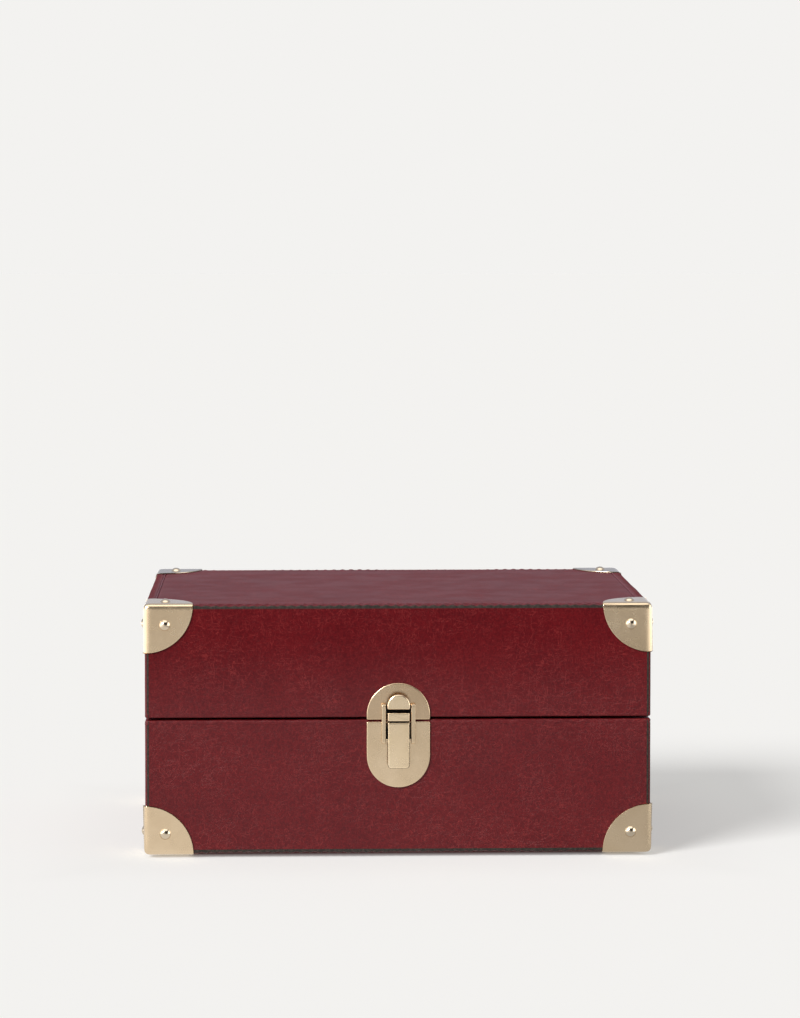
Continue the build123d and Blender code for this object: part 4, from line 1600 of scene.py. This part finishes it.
@dataclass
class Tray:
    """The lift-out tray with its cells, ring rolls and leather pull tabs."""

    finishes: Finishes
    cell: float = 38 * MM
    divider: float = 3 * MM
    wall: float = 3 * MM
    roll_count: int = 7
    roll_gap: float = 0.3 * MM
    roll_shrink: float = 0.5 * MM
    soft: float = 0.9 * MM
    tab_thick: float = 1.4 * MM
    tab_corner: float = 7.6 * MM

    def build(self) -> None:
        """Build and dress the tray."""
        self.box()
        self.cells()
        self.ring_rolls()
        self.tabs()

    def cover(self, name: str, parts: Sequence[Piece], node: str) -> None:
        """Wrap some of the tray's boards in suede, as one piece."""
        wrapped(name, parts, "tray", node, self.finishes.suede)

    def box(self) -> None:
        """The tray's floor and its four walls."""
        low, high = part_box("tray_floor")
        self.cover("tray_floor_board", [slab("tray_floor_board", low, high, 0.5 * MM)], "tray_floor")
        low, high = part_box("tray_long_walls")
        front = slab("front_wall", low, (high.x, low.y + self.wall, high.z), self.soft, 4)
        back = slab("back_wall", (low.x, high.y - self.wall, low.z), high, self.soft, 4)
        self.cover("tray_front_and_back", [front, back], "tray_long_walls")
        low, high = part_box("tray_side_walls")
        left = slab("left_wall", low, (low.x + self.wall, high.y, high.z), self.soft, 4)
        right = slab("right_wall", (high.x - self.wall, low.y, low.z), high, self.soft, 4)
        self.cover("tray_sides", [left, right], "tray_side_walls")

    def cells(self) -> None:
        """The long divider and the six short ones."""
        low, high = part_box("tray_long_divider")
        self.cover("tray_long_rail", [slab("rail", low, high, self.soft, 4)], "tray_long_divider")
        cross_low, cross_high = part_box("tray_cross_dividers")
        rail_front, rail_back = low.y, high.y
        half = self.divider / 2
        short = slab("short", (-2 * self.cell - half, rail_back, cross_low.z),
                     (-2 * self.cell + half, cross_high.y, cross_high.z), self.soft, 4)
        row_of(short, 5, (self.cell, 0, 0))
        roll_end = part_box("ring_rolls")[1].x + 0.15 * MM
        stop = slab("stop", (roll_end, cross_low.y, cross_low.z),
                    (roll_end + self.divider, rail_front, cross_high.z), self.soft, 4)
        self.cover("tray_short_rails", [short, stop], "tray_cross_dividers")

    def ring_rolls(self) -> None:
        """Seven foam rolls under suede, pressed against each other to hold rings."""
        low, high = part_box("ring_rolls")
        pitch = (high.y - low.y + self.roll_gap) / self.roll_count
        wide = pitch - self.roll_gap
        shrink = self.roll_shrink
        roll = block("ring_roll_set", (low.x + shrink, low.y + shrink, low.z),
                     (high.x - shrink, low.y + wide - shrink, high.z - shrink))
        round_edges(roll, (wide - 2 * shrink) * 0.48, 7, lambda edge: (
            runs_along(edge, Axis.X) and middle_of(edge).z > high.z - 2 * MM))
        round_ends(roll, 1.5 * MM, 3)
        puff(roll, 2.2 * MM, 0.5 * MM, lambda place: place.z < low.z + 1.0 * MM)
        row_of(roll, self.roll_count, (0, pitch, 0))
        smooth(roll, 70)
        settle(roll, "tray", [self.finishes.suede], ["ring_rolls"])

    def tabs(self) -> None:
        """Two leather tabs to lift the tray by, stitched to its ends."""
        low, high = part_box("tray_pull_tabs")
        thick = self.tab_thick
        tabs = []
        for x_low in (low.x, high.x - thick):
            tab = block("tab", (x_low, low.y, low.z), (x_low + thick, high.y, high.z))
            round_edges(tab, self.tab_corner, 10, lambda edge: runs_along(edge, Axis.X))
            round_ends(tab, 0.3 * MM, 2)
            tabs.append(tab)
        piece = joined("tray_tab_pair", tabs)
        smooth(piece, 40)
        paint_faces(piece, 1, lambda face: abs(face.normal.x) < 0.3)
        settle(piece, "tray", [self.finishes.leather, self.finishes.paint], ["tray_pull_tabs"])


@dataclass
class BaseRoom:
    """What the base holds under the tray: ledges and dividers, and the boards behind the leather."""

    finishes: Finishes
    cell: float = 54 * MM
    divider: float = 3 * MM
    ledge: float = 4 * MM

    def build(self) -> None:
        """Build the ledges and dividers, and finish the hidden boards."""
        low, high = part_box("tray_ledges")
        left = slab("left_ledge", low, (low.x + self.ledge, high.y, high.z), 0.8 * MM)
        right = slab("right_ledge", (high.x - self.ledge, low.y, low.z), high, 0.8 * MM)
        rail_low, rail_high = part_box("base_long_divider")
        rail = slab("base_long_rail", rail_low, rail_high, 0.9 * MM, 4)
        cross_low, cross_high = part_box("base_cross_dividers")
        cross = slab("base_short_rails", cross_low, (cross_low.x + self.divider, cross_high.y, cross_high.z),
                     0.9 * MM, 4)
        row_of(cross, 2, (self.cell, 0, 0))
        for name, parts, node in (
            ("tray_ledge_pair", [left, right], "tray_ledges"),
            ("base_long_rail", [rail], "base_long_divider"),
            ("base_short_rails", [cross], "base_cross_dividers"),
        ):
            wrapped(name, parts, "base", node, self.finishes.suede)
        for name, node in frame["nodes"].items():
            if name.endswith("_board") or name.endswith("_boards"):
                node.material_slots[0].material = self.finishes.wood
            elif name.endswith("backing_plate"):
                node.material_slots[0].material = self.finishes.steel


# ---------------------------------------------------------------- studio


@dataclass
class Studio:
    """A pale floor that runs into a pale room, one soft sun and the camera."""

    plan: Plan
    pale: Colour = (0.896, 0.888, 0.871)
    backdrop: Colour = (0.84, 0.88, 1.0)
    room_light: float = 0.24
    sun_on_floor: float = 0.68
    sun_height: float = 34.0
    sun_side: float = 46.0
    sun_spread: float = 26.0
    floor_glow: float = 0.5
    floor_size: float = 60.0
    under_case: float = 14 * MM
    dimmed: float = 70 * MM
    dimmest: float = 0.92
    lens: float = 114.15
    lens_shift: tuple[float, float] = (0.01375, -0.1179)
    stand: tuple[float, float, float] = (-0.0547, -1.7157, 0.3129)
    look_down: float = 2.619
    look_right: float = 1.703

    def build(self) -> None:
        """Set up floor, room, sun, camera and view."""
        self.floor()
        self.room()
        self.sun()
        self.camera()
        bpy.context.scene.view_settings.view_transform = "Standard"

    def floor(self) -> None:
        """A wide plain floor with the case's shadow in it, and a brightness of its own in reflections.

        A glow lifts it to the room's paleness for the camera, is dimmed near the case as painted shade, and
        stops under the case. Metal sees it darker far in front and to the right, and bright far out on both
        sides.
        """
        put_down_all()
        bpy.ops.mesh.primitive_plane_add(size=self.floor_size, location=(0, 0, 0))
        floor = placed("studio_floor")
        mix = Recipe("studio_floor")
        mix.set(Base_Color=(*self.pale, 1.0), Roughness=1.0, Specular_IOR_Level=0.0)
        lit = self.room_light + self.sun_on_floor
        place = mix.node("ShaderNodeSeparateXYZ", Vector=mix.place).outputs
        out = mix.sum(
            "MAXIMUM",
            mix.sum("SUBTRACT", mix.sum("ABSOLUTE", place["X"]), self.plan.right),
            mix.sum("SUBTRACT", mix.sum("ABSOLUTE", mix.sum("SUBTRACT", place["Y"], self.plan.middle)),
                    self.plan.back - self.plan.middle),
        )
        clear = mix.band(out, -self.under_case, 1 * MM)
        # Near the case the glow is dimmed to paint a shade around it.
        glow = mix.node(
            "ShaderNodeEmission", Color=(*self.pale, 1.0),
            Strength=mix.sum("MULTIPLY", mix.band(out, 0.0, self.dimmed, self.dimmest, 1.0),
                             (1.0 - (1.0 - self.floor_glow) * lit) / self.floor_glow),
        )
        seen = mix.sum("MULTIPLY", clear, mix.node("ShaderNodeLightPath").outputs["Is Camera Ray"])
        both = mix.node("ShaderNodeMixShader", Fac=mix.sum("MULTIPLY", seen, self.floor_glow))
        mix.feed(both.inputs[1], mix.shader.outputs[0])
        mix.feed(both.inputs[2], glow.outputs[0])
        ahead = mix.band(place["Y"], -1.0, -0.2, 0.62, 1.08)
        right = mix.band(place["X"], 0.0, 0.13, 1.0, 0.6)
        beside = mix.band(mix.sum("ABSOLUTE", place["X"]), 0.17, 0.9, 0.0, 1.6)
        shine = mix.sum("ADD", mix.sum("MULTIPLY", ahead, right), beside)
        mirrored = mix.node("ShaderNodeEmission", Color=(*self.pale, 1.0), Strength=shine)
        either = mix.node("ShaderNodeMixShader", Fac=mix.node("ShaderNodeLightPath").outputs["Is Glossy Ray"])
        mix.feed(either.inputs[1], both.outputs[0])
        mix.feed(either.inputs[2], mirrored.outputs[0])
        mix.feed(mix.tree.nodes["Material Output"].inputs["Surface"], either.outputs[0])
        floor.data.materials.append(mix.material)

    def room(self) -> None:
        """The room: plain and pale to the camera, dark in front with bright screens in reflections."""
        world = bpy.data.worlds.new("studio_room")
        bpy.context.scene.world = world
        world.use_nodes = True
        tree = world.node_tree
        tree.nodes.clear()

        def add(kind: str, **settings: Any) -> Any:
            """Add a node with some properties."""
            made = tree.nodes.new(kind)
            for key, value in settings.items():
                setattr(made, key, value)
            return made

        def light(colour: Any, strength: Any) -> Any:
            """A background of a colour and a strength."""
            made = add("ShaderNodeBackground")
            made.inputs["Color"].default_value = (*colour, 1.0)
            if isinstance(strength, bpy.types.NodeSocket):
                tree.links.new(strength, made.inputs["Strength"])
            else:
                made.inputs["Strength"].default_value = strength
            return made.outputs[0]

        def sums(operation: str, first: Any, second: Any) -> Any:
            """One step of arithmetic."""
            made = add("ShaderNodeMath", operation=operation)
            for socket, value in zip(made.inputs, (first, second)):
                if isinstance(value, bpy.types.NodeSocket):
                    tree.links.new(value, socket)
                else:
                    socket.default_value = value
            return made.outputs[0]

        def rise(value: Any, low: float, high: float, to: float) -> Any:
            """0 below a value, then smoothly up to a number."""
            made = add("ShaderNodeMapRange", interpolation_type="SMOOTHSTEP")
            tree.links.new(value, made.inputs["Value"])
            for key, number in (("From Min", low), ("From Max", high), ("To Max", to)):
                made.inputs[key].default_value = number
            return made.outputs["Result"]

        def either(factor: Any, first: Any, second: Any) -> Any:
            """The first light where the factor is 0, the second where it is 1."""
            made = add("ShaderNodeMixShader")
            for socket, value in zip(made.inputs, (factor, first, second)):
                tree.links.new(value, socket)
            return made.outputs[0]

        rays = add("ShaderNodeLightPath").outputs
        way = add("ShaderNodeSeparateXYZ")
        tree.links.new(add("ShaderNodeTexCoord").outputs["Generated"], way.inputs[0])
        across, depth, height = way.outputs
        front = sums("SUBTRACT", 0.5, sums("MULTIPLY", across, 2.0))
        front = sums("MAXIMUM", sums("MINIMUM", front, 1.2), 0.22)
        front = sums("MULTIPLY", front, sums("SUBTRACT", 1.0, rise(height, 0.1, 0.35, 0.7)))
        screens = (
            rise(height, 0.7, 0.95, 2.2),
            rise(across, 0.62, 0.86, 3.0),
            rise(sums("MULTIPLY", across, -1.0), 0.62, 0.86, 1.8),
        )
        for screen in screens:
            front = sums("ADD", front, screen)
        mirrored = either(rise(depth, -0.1, 0.3, 1.0), light(self.pale, front), light(self.backdrop, 0.68))
        ambient = light(self.pale, self.room_light / self.pale[1])
        seen = light(self.pale, 1.0)
        lit = either(rays["Is Glossy Ray"], ambient, mirrored)
        plain = sums("MAXIMUM", rays["Is Camera Ray"], rays["Is Transmission Ray"])
        end = add("ShaderNodeOutputWorld")
        tree.links.new(either(plain, lit, seen), end.inputs[0])

    def sun(self) -> None:
        """One soft sun from high on the left, a little in front."""
        height, side = math.radians(self.sun_height), math.radians(self.sun_side)
        put_down_all()
        bpy.ops.object.light_add(type="SUN", rotation=(math.pi / 2 - height, 0, -side))
        sun = bpy.context.object
        sun.name = "studio_sun"
        sun.data.energy = self.sun_on_floor * math.pi / math.sin(height)
        sun.data.angle = math.radians(self.sun_spread)

    def camera(self) -> None:
        """The camera, far off with a long lens, looking a little down."""
        data = bpy.data.cameras.new("studio_camera")
        data.lens = self.lens
        data.shift_x, data.shift_y = self.lens_shift
        camera = bpy.data.objects.new("studio_camera", data)
        camera.location = self.stand
        camera.rotation_euler = (math.radians(90 - self.look_down), 0, math.radians(-self.look_right))
        bpy.context.scene.collection.objects.link(camera)
        bpy.context.scene.camera = camera


def main() -> None:
    """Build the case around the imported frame."""
    logging.basicConfig(level=logging.INFO, format="%(name)s: %(message)s")
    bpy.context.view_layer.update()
    plan, finishes = Plan.read(), Finishes.made()
    for half in Half:
        Shell(plan, finishes, half).build()
    Corners(plan, finishes).build()
    Latch(plan, finishes).build()
    Hinges(plan, finishes).build()
    Lining(finishes).build()
    Tray(finishes).build()
    BaseRoom(finishes).build()
    Studio(plan).build()


if __name__ == "__main__":
    main()
